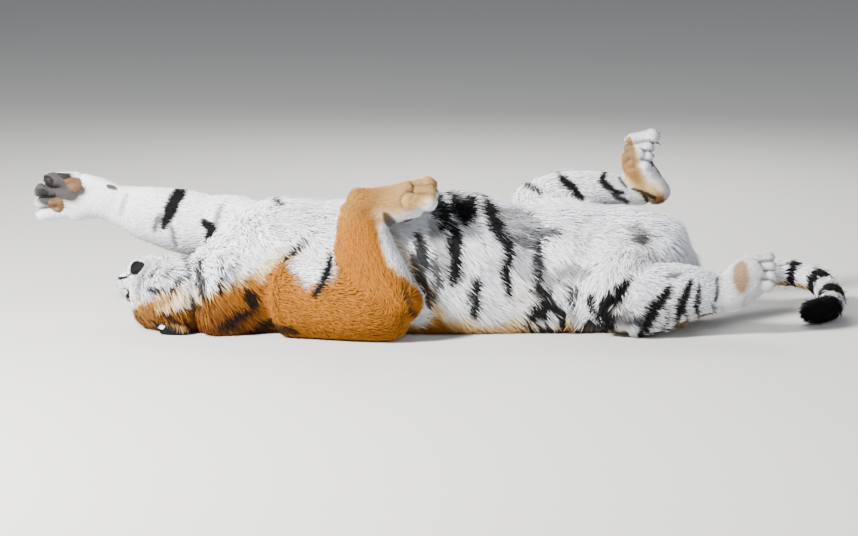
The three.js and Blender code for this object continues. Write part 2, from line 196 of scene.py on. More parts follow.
limbs = {
    "head": {
        "rows": headRows, "forms": headForms, "sideways": headAcross, "rounds": (10, 45),
        "fullness": (3.2, 2.5), "coat": (12, 12, 10), "thin": 0.25, "droop": 0.5, "hair": (7, 46),
        "around": 128, "steps": 110,
    },
    "ear_right": earLimb(1),
    "ear_left": earLimb(-1),
    "neck": {
        "rows": [
            (-630, -125, 122, 124, 120, 136), (-575, -102, 130, 142, 152, 146),
            (-510, -66, 142, 166, 186, 158), (-430, -34, 156, 186, 206, 168),
        ],
        "rounds": (50, 60), "fullness": (2.2, 3.4), "coat": (16, 16, 6), "droop": 1.5, "hair": (52, 50),
    },
    "trunk": {
        "rows": [
            (-500, -30, 162, 172, 204, 180), (-420, -12, 168, 200, 222, 188), (-320, 0, 172, 216, 228, 194),
            (-190, 0, 172, 226, 232, 196), (-50, 0, 172, 230, 238, 196), (90, 0, 172, 228, 248, 196),
            (220, 0, 172, 222, 250, 196), (320, 0, 170, 213, 232, 194), (430, 0, 168, 206, 216, 192),
            (560, 0, 165, 205, 212, 188), (690, 0, 162, 202, 216, 182), (780, 5, 158, 186, 212, 176),
            (850, 8, 150, 160, 194, 164), (905, 10, 142, 128, 124, 150),
        ],
        # muscle and bone: x, y, z, reach and height of each form
        "forms": [
            (-400, 110, 350, 110, 16), (-400, -110, 350, 110, 16), (-250, 0, 412, 110, -10),
            (-330, 215, 170, 120, 12), (-120, 225, 200, 150, 10), (-120, -225, 200, 150, 10),
            (150, 0, 430, 170, 6), (400, 210, 230, 120, -20), (400, -210, 230, 120, -16),
            (350, 130, 360, 90, -14), (350, -130, 360, 90, -14), (690, 195, 190, 120, 12),
            (640, -120, 350, 110, -30), (560, 0, 390, 90, 8), (900, -90, 230, 90, -16),
        ],
        "rounds": (60, 44), "fullness": (2.2, 3.4), "coat": (15, 22, 6), "droop": 0.85, "hair": (46, 66),
        "around": 96, "steps": 90,
    },
    "tail": {
        "rows": [
            (860, 10, 78, 46, 46, 46), (960, 40, 74, 50, 50, 50), (1050, 130, 84, 48, 48, 48),
            (1150, 250, 104, 46, 46, 46), (1270, 320, 112, 46, 46, 46), (1370, 268, 100, 46, 46, 46),
            (1412, 158, 72, 46, 46, 46), (1400, 50, 50, 46, 46, 46), (1332, -10, 42, 42, 42, 46),
        ],
        "sideways": upAxis, "rounds": (30, 40), "fullness": (2, 2), "coat": (12, 12, 12), "hair": (34, 34),
        "steps": 120,
    },
    "upper_arm_left": {
        "rows": [
            (-360, 130, 190, 92, 110, 110), (-450, 165, 235, 90, 118, 118), (-540, 192, 272, 84, 116, 116),
            (-620, 210, 290, 74, 106, 106),
        ],
        "rounds": (70, 50), "coat": (12, 12, 12), "droop": 0.25, "hair": (42, 26),
    },
    "forearm_left": {
        "rows": [
            (-640, 213, 288, 72, 104, 104), (-726, 210, 304, 70, 106, 106), (-839, 202, 331, 62, 90, 90),
            (-905, 196, 351, 54, 74, 74), (-968, 190, 370, 48, 62, 62),
        ],
        "rounds": (50, 20), "coat": (8, 8, 8), "hair": (24, 11),
    },
    "forepaw_left": {
        "rows": [
            (-950, 192, 370, 46, 62, 62), (-1000, 187, 383, 46, 70, 70), (-1060, 182, 390, 46, 83, 78),
            (-1112, 178, 390, 38, 77, 72),
        ],
        "rounds": (18, 30), "coat": (2.5, 2.5, 2.5), "hair": (10, 8),
        "toes": [
            (-1083, 178, 441, -1138, 172, 442, 31), (-1098, 180, 409, -1173, 172, 408, 31),
            (-1100, 180, 375, -1182, 172, 371, 31), (-1092, 178, 345, -1167, 172, 337, 30),
        ],
    },
    "upper_arm_right": {
        "rows": [
            (-335, -190, 130, 108, 128, 136), (-210, -228, 122, 106, 128, 128),
            (-90, -256, 112, 102, 118, 120), (-10, -270, 102, 88, 98, 108),
        ],
        "rounds": (70, 56), "coat": (10, 12, 5), "droop": 0.2, "hair": (30, 30),
    },
    "forearm_right": {
        "rows": [
            (0, -282, 104, 82, 84, 88), (-68, -270, 180, 80, 106, 106), (-106, -250, 268, 72, 100, 100),
            (-118, -234, 355, 60, 83, 83), (-122, -226, 420, 54, 69, 69),
        ],
        "rounds": (60, 20), "coat": (8, 8, 8), "droop": 0.1, "hair": (28, 11),
    },
    "forepaw_right": {
        "rows": [
            (-122, -226, 418, 54, 62, 50), (-60, -226, 426, 58, 58, 60), (0, -226, 432, 62, 60, 64),
            (42, -226, 446, 60, 60, 62),
        ],
        "rounds": (44, 30), "coat": (2.5, 2.5, 2.5), "hair": (10, 8),
        "toes": [
            (50, -272, 440, 90, -270, 438, 30), (56, -243, 460, 93, -243, 462, 30),
            (56, -212, 474, 92, -212, 482, 30), (48, -184, 476, 82, -184, 484, 30),
        ],
    },
    "thigh_left": {
        "rows": [
            (745, 118, 190, 96, 122, 122), (650, 150, 238, 98, 122, 122), (555, 180, 292, 88, 104, 104),
            (476, 198, 340, 72, 72, 78),
        ],
        "rounds": (70, 50), "coat": (14, 14, 14), "droop": 0.3, "hair": (46, 34),
    },
    "shank_left": {
        "rows": [
            (436, 205, 362, 60, 72, 78), (520, 208, 401, 58, 66, 70), (620, 206, 414, 52, 57, 57),
            (720, 201, 408, 44, 52, 52), (800, 197, 398, 38, 44, 44),
        ],
        "rounds": (74, 26), "coat": (8, 8, 8), "thin": 1.2, "droop": 0.3, "hair": (34, 12),
    },
    "hind_foot_left": {
        "rows": [
            (848, 197, 400, 44, 42, 42), (811, 197, 437, 48, 48, 48), (781, 195, 484, 52, 52, 52),
            (769, 193, 528, 48, 47, 47),
        ],
        "rounds": (38, 36), "coat": (2.5, 2.5, 2.5), "hair": (11, 8),
        "toes": [
            (774, 206, 570, 822, 208, 582, 27), (770, 196, 546, 806, 196, 550, 27),
            (768, 184, 520, 803, 182, 519, 27), (771, 173, 496, 797, 170, 491, 27),
        ],
    },
    "thigh_right": {
        "rows": [
            (780, -108, 158, 88, 112, 118), (728, -165, 150, 104, 126, 128), (664, -206, 124, 94, 110, 124),
        ],
        "rounds": (50, 84), "coat": (14, 14, 6), "droop": 0.4, "hair": (50, 38),
    },
    "shank_right": {
        "rows": [
            (735, -214, 122, 84, 112, 118), (800, -210, 128, 78, 110, 112), (870, -207, 140, 70, 98, 98),
            (950, -205, 144, 60, 78, 78), (1020, -203, 132, 50, 58, 58),
        ],
        "rounds": (60, 30), "coat": (10, 10, 8), "thin": 1.3, "droop": 0.3, "hair": (40, 14),
    },
    "hind_foot_right": {
        "rows": [
            (1030, -203, 128, 48, 54, 54), (1070, -202, 156, 50, 66, 66), (1108, -200, 190, 50, 68, 68),
            (1130, -198, 204, 44, 60, 60),
        ],
        "rounds": (34, 30), "coat": (2.5, 2.5, 2.5), "hair": (12, 8),
        "toes": [
            (1120, -188, 240, 1162, -184, 246, 25), (1126, -198, 218, 1166, -196, 221, 25),
            (1126, -208, 194, 1166, -208, 193, 25), (1120, -216, 172, 1160, -218, 167, 25),
        ],
    },
}
plainLimb = {"sideways": farAxis, "fullness": (2.2, 2.2), "forms": (), "toes": (), "cup": 0, "thin": 1.0,
             "droop": 0.1, "around": 56, "steps": 40}
for name, limb in limbs.items():
    limbs[name] = {**plainLimb, **limb}
    for key in ("rows", "toes"):  # a toe is its root and its tip, x, y and z each, and its radius
        limbs[name][key] = np.array(limbs[name][key], float)
limbNames = list(limbs)
feet = [name for name in limbNames if len(limbs[name]["toes"])]
floorSkin = 1.5  # the skin's lowest height, so that some coat lies under it


# A limb is a smooth curve with sections round it.
def rowsAt(rows, places):
    # a smooth curve through the rows, each span a cubic that takes its slope from the rows either side
    last = len(rows) - 1
    start = np.clip(np.floor(places).astype(int), 0, last - 1)
    t = (places - start)[:, None]
    a, b, c, d = (rows[np.clip(start + k, 0, last)] for k in (-1, 0, 1, 2))
    return b + 0.5 * ((c - a) * t + (2 * a - 5 * b + 4 * c - d) * t**2 + (3 * b - a - 3 * c + d) * t**3)


def limbFrames(limb, places):
    # centre, heading, sideways and upwards directions, and half sizes (side, top, bottom) at each place
    rows = limb["rows"]
    row = rowsAt(rows, places)
    before = rowsAt(rows, np.clip(places - 0.02, 0, len(rows) - 1))
    after = rowsAt(rows, np.clip(places + 0.02, 0, len(rows) - 1))
    heading = unit((after - before)[:, :3])
    across = squared(limb["sideways"], heading)
    return row[:, :3], heading, across, np.cross(heading, across), row[:, 3:6]


def coatDepth(limb, share):
    # the coat's depth on the three sides, growing from the thin end to the full depth along the limb
    full = limb["thin"] + (1 - limb["thin"]) * ease(share, 0.2, 0.8)
    return np.array(limb["coat"], float) * full[:, None]


def gridFaces(rings, around):
    ring, turn = np.meshgrid(np.arange(rings - 1), np.arange(around), indexing="ij")
    corner = ring * around + turn
    beside = ring * around + (turn + 1) % around
    return np.stack([corner, beside, beside + around, corner + around], -1).reshape(-1, 4)


def closedFaces(rings, around):
    # squares between neighbouring rings, and a flat cap at each end
    cap = np.arange(around)
    return [*gridFaces(rings, around).tolist(), cap[::-1].tolist(), (cap + (rings - 1) * around).tolist()]


def limbTube(limb, capRings=7):
    # rings of a superellipse, radius (|c|^n + |s|^n)^(-1/n), along the limb, with a quarter circle of smaller
    # rings on each end; a form moves the points near it outwards by height * exp(-(distance / reach)^2)
    rows, around, steps = limb["rows"], limb["around"], limb["steps"]
    last = len(rows) - 1.0
    turn = np.linspace(0.02, quarterTurn, capRings, endpoint=False)
    places = np.concatenate([turn * 0, np.linspace(0, last, steps), turn * 0 + last])
    size = np.concatenate([np.sin(turn), np.ones(steps), np.sin(turn[::-1])])
    centre, heading, across, upwards, sizes = limbFrames(limb, places)
    depth = coatDepth(limb, places / last)
    startRound, endRound = limb["rounds"][0] - depth[0, 0], limb["rounds"][1] - depth[-1, 0]
    pull = np.concatenate([-startRound * np.cos(turn), np.zeros(steps), endRound * np.cos(turn[::-1])])
    centre = centre + heading * pull[:, None]
    sizes = sizes - depth
    angle = circle(around, 0.5)
    c, s = np.cos(angle), np.sin(angle)
    full = np.where(s > 0, limb["fullness"][0], limb["fullness"][1])
    radius = (np.abs(c) ** full + np.abs(s) ** full) ** (-1 / full)
    upSize = np.where(s > 0, sizes[:, 1:2], sizes[:, 2:3])
    outwards = across[:, None] * (c * radius * sizes[:, :1])[..., None]
    outwards = outwards + upwards[:, None] * (s * radius * upSize)[..., None]
    points = centre[:, None] + outwards * size[:, None, None]
    points = points + upwards[:, None] * (limb["cup"] * c * c * size[:, None])[..., None]
    away = unit(outwards)
    for *middle, reach, height in limb["forms"]:
        points = points + away * (ballPush(points, middle, reach) * height)[..., None]
    return points.reshape(-1, 3), closedFaces(len(places), around)


def toeLimb(toe, depth):
    root, tip, half = toe[:3], toe[3:6], toe[6]
    end = half * 0.9
    rows = [(*place, *[size] * 3) for place, size in ((root, end), ((root + tip) / 2, half), (tip, end))]
    return {**plainLimb, "rows": np.array(rows), "rounds": (end, end), "fullness": (2, 2),
            "coat": (depth,) * 3, "around": 28, "steps": 14}


# The skin is all the limbs melted into one surface of even squares.
# Distances round the head and each paw are stretched while that is done, so they get smaller squares.
skinMake = {"square": 14.2, "smoothing": 7, "strength": 0.5, "fillRounds": 60, "fillMost": 30, "kept": 0.76}
stretchedParts = [  # middle, inner and outer reach, how many times larger
    (headPoint(140.0, 0.0, 10.0), 140, 290, 3.3),
    (np.array([-1095.0, 176, 388]), 100, 180, 2.1),
    (np.array([40.0, -228, 446]), 80, 160, 2.1),
    (np.array([785.0, 192, 528]), 75, 150, 2.2),
    (np.array([1128.0, -200, 206]), 70, 145, 2.2),
]
farReach = np.linspace(0, 4000, 4001)


def stretchTable(inner, outer, times):
    # distance from the middle before and after: the slope falls from times to 1 between inner and outer
    slope = times + (1 - times) * ease(farReach, inner, outer)
    return np.concatenate([[0], np.cumsum((slope[1:] + slope[:-1]) / 2)])


def stretchAbout(points, middle, source, target):
    away = points - middle
    reach = np.maximum(np.linalg.norm(away, axis=-1, keepdims=True), 1e-6)
    return middle + away * np.interp(reach, source, target) / reach


def stretchAll(points):
    undo = []
    for middle, inner, outer, times in stretchedParts:
        for earlier, table in undo:
            middle = stretchAbout(middle[None], earlier, farReach, table)[0]
        table = stretchTable(inner, outer, times)
        points = stretchAbout(points, middle, farReach, table)
        undo.append((middle, table))
    return points, undo


def relaxAll(points, undo):
    for middle, table in reversed(undo):
        points = stretchAbout(points, middle, table, farReach)
    return points


def newPiece(name, points, faces, material):
    # points in millimetres
    mesh = bpy.data.meshes.new(name)
    mesh.from_pydata((points * mm).tolist(), [], faces if isinstance(faces, list) else faces.tolist())
    mesh.shade_smooth()
    if material:
        mesh.materials.append(material)
    return addObject(name, mesh)


def finishPiece(piece):
    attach(piece, "root")
    return piece


def meshPoints(mesh):
    points = np.empty(len(mesh.vertices) * 3, np.float32)
    mesh.vertices.foreach_get("co", points)
    return points.reshape(-1, 3).astype(float) / mm


def meltTogether(points, faces, square):
    # Blender's voxel remesh of closed shapes that cross each other: one closed surface of squares
    rough = newPiece("rough", points, faces, None)
    melt = rough.modifiers.new("melt", "REMESH")
    melt.mode = "VOXEL"
    melt.voxel_size = square * mm
    melted = bpy.data.meshes.new_from_object(rough.evaluated_get(bpy.context.evaluated_depsgraph_get()))
    corners = np.empty(len(melted.loops), np.int32)
    melted.loops.foreach_get("vertex_index", corners)
    found = meshPoints(melted)
    bpy.data.objects.remove(rough)
    return found, corners.reshape(-1, 4)


def edgesOf(faces):
    pairs = np.concatenate([faces[:, [k, (k + 1) % 4]] for k in range(4)])
    return np.unique(np.sort(pairs, axis=1), axis=0)


def neighbourMean(values, edges):
    # the mean of each point's neighbours
    a, b = edges.T
    count = np.bincount(a, minlength=len(values)) + np.bincount(b, minlength=len(values))
    total = [
        np.bincount(a, column[b], len(values)) + np.bincount(b, column[a], len(values)) for column in values.T
    ]
    return np.stack(total, -1) / np.maximum(count, 1)[:, None]


def pointNormals(points, faces):
    # each face's normal is the cross product of its diagonals; a point takes the sum of its faces'
    a, b, c, d = (points[faces[:, k]] for k in range(4))
    faceNormal = np.cross(c - a, d - b)
    columns = [
        sum(np.bincount(faces[:, k], faceNormal[:, j], len(points)) for k in range(4)) for j in range(3)
    ]
    return unit(np.stack(columns, -1))


def largestShell(points, faces, edges):
    # labels spread along the edges until they stop changing; the commonest label is kept
    label = np.arange(len(points))
    while True:
        new = label.copy()
        np.minimum.at(new, edges[:, 0], label[edges[:, 1]])
        np.minimum.at(new, edges[:, 1], label[edges[:, 0]])
        new = new[new]
        if (new == label).all():
            break
        label = new
    kept = label == np.bincount(label).argmax()
    renumber = np.cumsum(kept) - 1
    return points[kept], renumber[faces[kept[faces[:, 0]]]]


def meltSkin():
    points, faces, count = [], [], 0
    shapes = list(limbs.values())
    shapes += [toeLimb(toe, limb["coat"][0]) for limb in limbs.values() for toe in limb["toes"]]
    for shape in shapes:
        tube, tubeFaces = limbTube(shape)
        points.append(tube)
        faces += [[corner + count for corner in face] for face in tubeFaces]
        count += len(tube)
    stretched, undo = stretchAll(np.concatenate(points))
    stretched, faces = meltTogether(stretched, faces, skinMake["square"])
    stretched, faces = largestShell(stretched, faces, edgesOf(faces))
    edges = edgesOf(faces)
    for _ in range(skinMake["smoothing"]):
        stretched += (neighbourMean(stretched, edges) - stretched) * skinMake["strength"]
    return relaxAll(stretched, undo), faces, edges


skinPoints, skinFaces, skinEdges = meltSkin()
print("skin melted:", len(skinPoints), "points,", len(skinFaces) * 2, "triangles")


# The face is modelled in head measures: back from the nose, across, and up towards the forehead.
face = {
    "mouth": [(10, 12), (30, 6), (52, 0), (80, -9), (104, -26), (122, -40)],  # back and up of the lip line
    "mouthDepth": 5.0,
    "lipPatch": (122, 64, -47),  # the black fold of the lower lip near the corner of the mouth
    "lipPatchSize": (27, 25),  # half length and half height
    "lipPatchFacing": (0.575, 0.787, -0.225),  # back, across and up of the way it faces
    "lidRadius": 18.4,
    "slit": (15.5, 5.0),  # half length and half height of the eye's opening
    "eyeCorners": [([(-16, -3), (-34, -14)], 8), ([(16, 4), (34, 14)], 7)],  # dark strokes and their widths
    "folds": [  # back, across, up, reach and height of small forms, on both sides
        (40, 50, 20, 24, 5), (26, 22, 26, 16, -4), (60, 30, 78, 22, 3), (120, 74, 84, 16, 3.5),
        (112, 78, 42, 14, 3), (96, 44, 60, 12, -3), (134, 92, 66, 16, -4), (70, 62, 40, 16, -4),
    ],
}


def eyeFrame(side):
    # centre, direction along the slit from the inner to the outer corner, up the face, and out of the eye
    b, a, u = head["eye"]
    gaze = unit(np.array([-0.60, 0.76 * side, 0.28]))
    along = np.array([0.62, 0.62 * side, 0.46])
    along = squared(along, gaze)
    upwards = np.cross(along, gaze) * side
    return headPoint(b, a * side, u), np.stack([along, upwards, gaze]) @ headAxes


def eyeMeasures(points, side):
    # of points in the room: along the slit, up the face, and out of the eye
    centre, axes = eyeFrame(side)
    return ((points - centre) @ axis for axis in axes)


def closeLids(points, side):
    # near the eye the skin lies on a ball a lid's thickness larger, and in the slit it drops behind the eye
    x, y, z = eyeMeasures(points, side)
    gaze = eyeFrame(side)[1][2]
    far = np.hypot(x, y)
    onLid = np.sqrt(np.maximum(face["lidRadius"] ** 2 - far**2, 0))
    length, height = face["slit"]
    open_ = 1 - (x / length) ** 2 - (np.abs(y) / height) ** 2
    target = onLid - 6 * ease(open_, 0, 0.5)
    share = ease(far, 25, 14) * (z > -8)
    return points + gaze * ((target - z) * share)[:, None]


def mouthHeight(back):
    line = np.array(face["mouth"], float)
    return np.interp(back, line[:, 0], line[:, 1])


def modelFace(points, normals):
    b, a, u = headMeasures(points).T
    near = (b < 420) & (np.abs(a) < 220) & (np.abs(u) < 200)
    lift = np.zeros(len(points))
    below = u - mouthHeight(b)
    onMuzzle = ease(b, 132, 112) * near
    lift -= onMuzzle * face["mouthDepth"] * bell(below, 3.2)
    lift += onMuzzle * 3.2 * bell(below - 9, 6) + onMuzzle * 1.6 * bell(below + 9, 6)
    inFront = ease(b, 34, 20) * near
    lift -= inFront * 4 * bell(a, 3) * ease(u, 0, 8) * ease(u, 40, 28)  # groove under the nose
    for fb, fa, fu, reach, height in bothSides(face["folds"]):
        lift += height * ballPush(points, headPoint(fb, fa, fu), reach)
    patch = lipPatch(points)
    lift += near * (4.5 * bell(patch - 1.3, 0.28) - 3.0 * bell(patch, 0.7))
    ruff = ease(b, 190, 280) * near * (np.abs(a) > 60)
    lift += ruff * 4 * softNoise(points * [1, 1, 0.5], 34, 3.3)
    return points + normals * lift[:, None]


def lipPatch(points):
    # distance from the middle of either lip patch, where 1 is its edge: an oval across the way it faces
    away = headMeasures(points)
    away[:, 1] = np.abs(away[:, 1])
    away -= face["lipPatch"]
    facing = np.array(face["lipPatchFacing"])
    jawward = unit(np.cross(facing, [0.0, 0.0, 1.0]))
    length, height = face["lipPatchSize"]
    flat = np.hypot(away @ jawward / length, away @ np.cross(facing, jawward) / height)
    return np.hypot(flat, away @ facing / 55)


foldWaves = [(3.5, 95, 1.7), (2.0, 42, 8.1)]  # height, size and shift of each


def bodyFolds(points, normals):
    # loose skin: slow waves over the belly and the groins, fading towards the head, the feet and the floor
    wave = sum(height * softNoise(points, size, shift) for height, size, shift in foldWaves)
    quiet = ease(np.linalg.norm(points - headPoint(120.0, 0.0, 0.0), axis=1), 230, 360)
    body = ease(points[:, 2], 60, 200) * ease(np.abs(points[:, 1]), 420, 200) * ease(points[:, 0], 1000, 860)
    return points + normals * (wave * quiet * body * ease(points[:, 0], -900, -600))[:, None]


# Pads lie where the soles face: place, way it faces, way to the toes, half length, half width and kind.
paws = {
    "creaseDepth": 7.0,
    "creaseWidth": 0.24,
    "pads": {
        "forepaw_left": [
            ((-1064, 138, 436), (0.05, -1, 0.1), (-1, 0, 0.5), 34, 26, "tan"),
            ((-1122, 147, 366), (0, -1, -0.05), (-1, 0, 0.2), 30, 27, "tan"),
            ((-1150, 146, 448), (-0.2, -1, 0.3), (-0.7, 0, 0.7), 27, 16, "black"),
            ((-1168, 148, 408), (-0.4, -1, 0), (-1, 0, 0.1), 22, 17, "black"),
            ((-1096, 142, 474), (0, -0.8, 0.6), (-0.9, 0, 0.4), 26, 13, "black"),
            ((-943, 160, 432), (0, -0.6, 0.8), (-1, 0, 0), 20, 12, "grey"),
        ],
        "forepaw_right": [
            ((20, -226, 378), (0, 0, -1), (1, 0, 0), 30, 34, "grey"),
            ((84, -268, 414), (0.3, 0, -1), (1, 0, 0), 17, 13, "grey"),
            ((92, -240, 432), (0.4, 0, -1), (1, 0, 0), 17, 13, "grey"),
            ((92, -212, 450), (0.4, 0, -1), (1, 0, 0), 17, 13, "grey"),
            ((82, -186, 454), (0.4, 0, -1), (1, 0, 0), 16, 12, "grey"),
        ],
        "hind_foot_left": [
            ((806, 200, 470), (1, 0.1, -0.1), (0, 0, 1), 26, 30, "grey"),
            ((818, 206, 560), (0.6, 0.2, -0.8), (1, 0, 0.2), 15, 12, "grey"),
            ((812, 194, 528), (0.7, 0, -0.7), (1, 0, 0.1), 14, 12, "grey"),
            ((808, 182, 498), (0.8, -0.1, -0.6), (1, 0, 0), 14, 12, "grey"),
        ],
        "hind_foot_right": [
            ((1126, -160, 190), (0.3, 1, 0), (0.6, 0, 0.6), 26, 26, "grey"),
            ((1160, -172, 240), (0.4, 1, 0.2), (0.8, 0, 0.4), 14, 12, "grey"),
            ((1166, -182, 216), (0.6, 1, 0), (1, 0, 0), 14, 12, "grey"),
            ((1166, -192, 190), (0.6, 1, -0.1), (1, 0, 0), 14, 12, "grey"),
        ],
    },
}


def padFrame(pad):
    # middle, and the three directions of a pad: to the toes, sideways and the way it faces
    middle, facing, ahead, *_ = pad
    facing = unit(np.array(facing, float))
    ahead = squared(ahead, facing)
    return np.array(middle, float), ahead, np.cross(facing, ahead), facing


def padPlaces(points):
    # distance from the nearest pad, where 1 is its edge
    nearest = np.full(len(points), 9.0)
    for pad in (pad for pads in paws["pads"].values() for pad in pads):
        middle, ahead, sideways, facing = padFrame(pad)
        away = points - middle
        flat = np.hypot(away @ ahead / pad[3], away @ sideways / pad[4])
        nearest = np.minimum(nearest, np.hypot(flat, away @ facing / 40))
    return nearest


def toeReach(points):
    # for each foot: distance to the nearest toe and to the next one, in the toes' own radius, and that radius
    for foot in feet:
        reach = []
        for toe in limbs[foot]["toes"]:
            root, line, half = toe[:3], toe[3:6] - toe[:3], toe[6]
            t = np.clip((points - root) @ line / (line @ line), -0.4, 1)
            far = np.linalg.norm(points - root - t[:, None] * line, axis=1)
            reach.append(far / (half - limbs[foot]["coat"][0]))
        yield (*np.sort(reach, axis=0)[:2], half)


def toeGap(first, second, width):
    # a bell over how much nearer one toe is than the next, fading away from the foot
    return bell(second - first, width) * ease(first, 1.5, 1.15)


def toeCreases(points, normals):
    # the skin goes back out to the toes' full size, and sinks in between two toes that are equally near
    lift = np.zeros(len(points))
    for first, second, half in toeReach(points):
        lift += np.clip((0.96 - first) * half, -4, 18) * ease(first, 1.3, 1.05)
        lift -= paws["creaseDepth"] * toeGap(first, second, paws["creaseWidth"])
    return points + normals * lift[:, None]


def fillHollows(points, normals):
    # hair bridges the sharp hollows where limbs meet: points move outwards to a smoothed shape, never inwards
    smooth = points.copy()
    for _ in range(skinMake["fillRounds"]):
        smooth += (neighbourMean(smooth, skinEdges) - smooth) * 0.6
    out = np.maximum(dot(smooth - points, normals), 0)
    body = ease(headMeasures(points)[:, 0], 215, 300) * ease(points[:, 2], 10, 60)
    body *= ease(points[:, 0], 1010, 900)
    return points + normals * (np.minimum(out, skinMake["fillMost"]) * body)[:, None]


skinNormals = pointNormals(skinPoints, skinFaces)
if dot(skinNormals, skinPoints - [94, 0, 180]).mean() < 0:
    skinFaces = skinFaces[:, ::-1]
    skinNormals = -skinNormals
skinPoints = fillHollows(skinPoints, skinNormals)
skinNormals = pointNormals(skinPoints, skinFaces)
skinPoints = toeCreases(skinPoints, skinNormals)
skinPoints = modelFace(skinPoints, skinNormals)
skinPoints = bodyFolds(skinPoints, skinNormals)
for side in (1, -1):
    skinPoints = closeLids(skinPoints, side)
skinPoints[:, 2] = np.maximum(skinPoints[:, 2], floorSkin)
skinNormals = pointNormals(skinPoints, skinFaces)
print("face and folds modelled")


# where each point lies on the body
def limbPlaces(points, limb, samples=70):
    # share of the way along the limb, angle round it and distance outside it, from the nearest centre
    last = len(limb["rows"]) - 1.0
    places = np.linspace(0, last, samples)
    centre, heading, across, upwards, sizes = limbFrames(limb, places)
    near = (dot(centre, centre) - 2 * points @ centre.T).argmin(1)
    away = points - centre[near]
    along, x, u = (dot(away, axis[near]) for axis in (heading, across, upwards))
    sizes = sizes[near] - coatDepth(limb, places[near] / last)
    tall = np.where(u > 0, sizes[:, 1], sizes[:, 2])
    around = np.hypot(x / sizes[:, 0], u / tall)
    outside = (around - 1) * np.hypot(x, u) / np.maximum(around, 1e-3)
    beyond = np.maximum(-along, 0) * (near == 0) + np.maximum(along, 0) * (near == samples - 1)
    beyond = np.maximum(beyond - limb["rounds"][1] * (near > 0) - limb["rounds"][0] * (near == 0), 0)
    far = np.where(outside > 0, np.hypot(outside, beyond), outside + beyond)
    angle = np.arctan2(u / tall, x / sizes[:, 0])
    step = np.linalg.norm(np.gradient(centre, axis=0), axis=1)[near]
    share = np.clip((near + np.clip(along / step, -0.5, 0.5)) / (samples - 1), 0, 1)
    outwards = unit(across[near] * (x / sizes[:, 0])[:, None] + upwards[near] * (u / tall)[:, None])
    return share, angle, far, heading[near], outwards


def readBody(points):
    # for every point: how much of each limb it belongs to, and blended directions, coat depth and hair length
    found = [limbPlaces(points, limbs[name]) for name in limbNames]
    far = np.stack([item[2] for item in found], 1)
    nearest = far.min(1, keepdims=True)
    weight = np.exp(-np.clip((far - nearest) / 16, 0, 30))
    weight /= weight.sum(1, keepdims=True)
    lie = sum(weight[:, k, None] * item[3] for k, item in enumerate(found))
    outwards = unit(sum(weight[:, k, None] * item[4] for k, item in enumerate(found)))
    depth, hair, droop = np.zeros(len(points)), np.zeros(len(points)), np.zeros(len(points))
    for k, (name, (share, angle, *_)) in enumerate(zip(limbNames, found)):
        limb = limbs[name]
        full, (first, last) = coatDepth(limb, share), limb["hair"]
        c, s = np.cos(angle), np.sin(angle)
        depth += weight[:, k] * (c * c * full[:, 0] + s * s * np.where(s > 0, full[:, 1], full[:, 2]))
        hair += weight[:, k] * (first + (last - first) * ease(share, 0.15, 0.85))
        droop += weight[:, k] * limb["droop"]
    return {"weight": weight, "part": weight.argmax(1), "lie": lie, "outwards": outwards, "depth": depth,
            "hair": hair, "droop": droop, "share": np.stack([item[0] for item in found], 1),
            "angle": np.stack([item[1] for item in found], 1)}


skinBody = readBody(skinPoints)
print("body read:", {name: int((skinBody["part"] == k).sum()) for k, name in enumerate(limbNames)})


# the markings: one set of colours for skin and coat
def paint(red, green, blue):
    # screen colour to light: ((c + 0.055) / 1.055)^2.4
    return ((np.array([red, green, blue]) + 0.055) / 1.055) ** 2.4


furColours = {
    "white": paint(0.92, 0.925, 0.95), "cream": paint(0.86, 0.74, 0.54), "orange": paint(0.585, 0.36, 0.095),
    "rustAndShade": paint(0.27, 0.13, 0.035), "black": paint(0.03, 0.028, 0.032), "grey": paint(0.45, 0.43, 0.42),
    "tan": paint(0.56, 0.41, 0.21), "fawn": paint(0.57, 0.43, 0.24),
}
# which way the orange side of each limb faces, from where to where it comes in, and how strong it is
orangeSides = {
    "neck": ((0, 0, -1), -0.22, 0.12, 1.0),
    "trunk": ((0, 0, -1), 0.36, 0.8, 0.75),
    "tail": ((0, 0, -1), 0.3, 0.8, 0.5),
    "upper_arm_left": ((0, 0.95, -0.3), 0.1, 0.5, 1.0),
    "forearm_left": ((0, 0.95, -0.3), 0.2, 0.6, 1.0),
    "forepaw_left": ((0, 1, 0.1), 0.2, 0.7, 0.55),
    "upper_arm_right": ((0.1, -0.8, -0.55), -0.45, 0.05, 1.0),
    "forearm_right": ((-0.6, -0.8, 0), 0.05, 0.5, 1.0),
    "forepaw_right": ((-0.4, -0.5, 0.75), -0.15, 0.6, 0.6),
    "thigh_left": ((0, 0.95, -0.3), 0.2, 0.55, 0.9),
    "shank_left": ((0, 1, 0), 0.25, 0.65, 0.9),
    "hind_foot_left": ((-0.8, -0.6, 0), 0.25, 0.85, 0.8),
    "thigh_right": ((0, -0.3, -0.95), 0.85, 1.1, 0.6),
    "shank_right": ((0, -0.1, -1), 0.88, 1.1, 0.7),
}
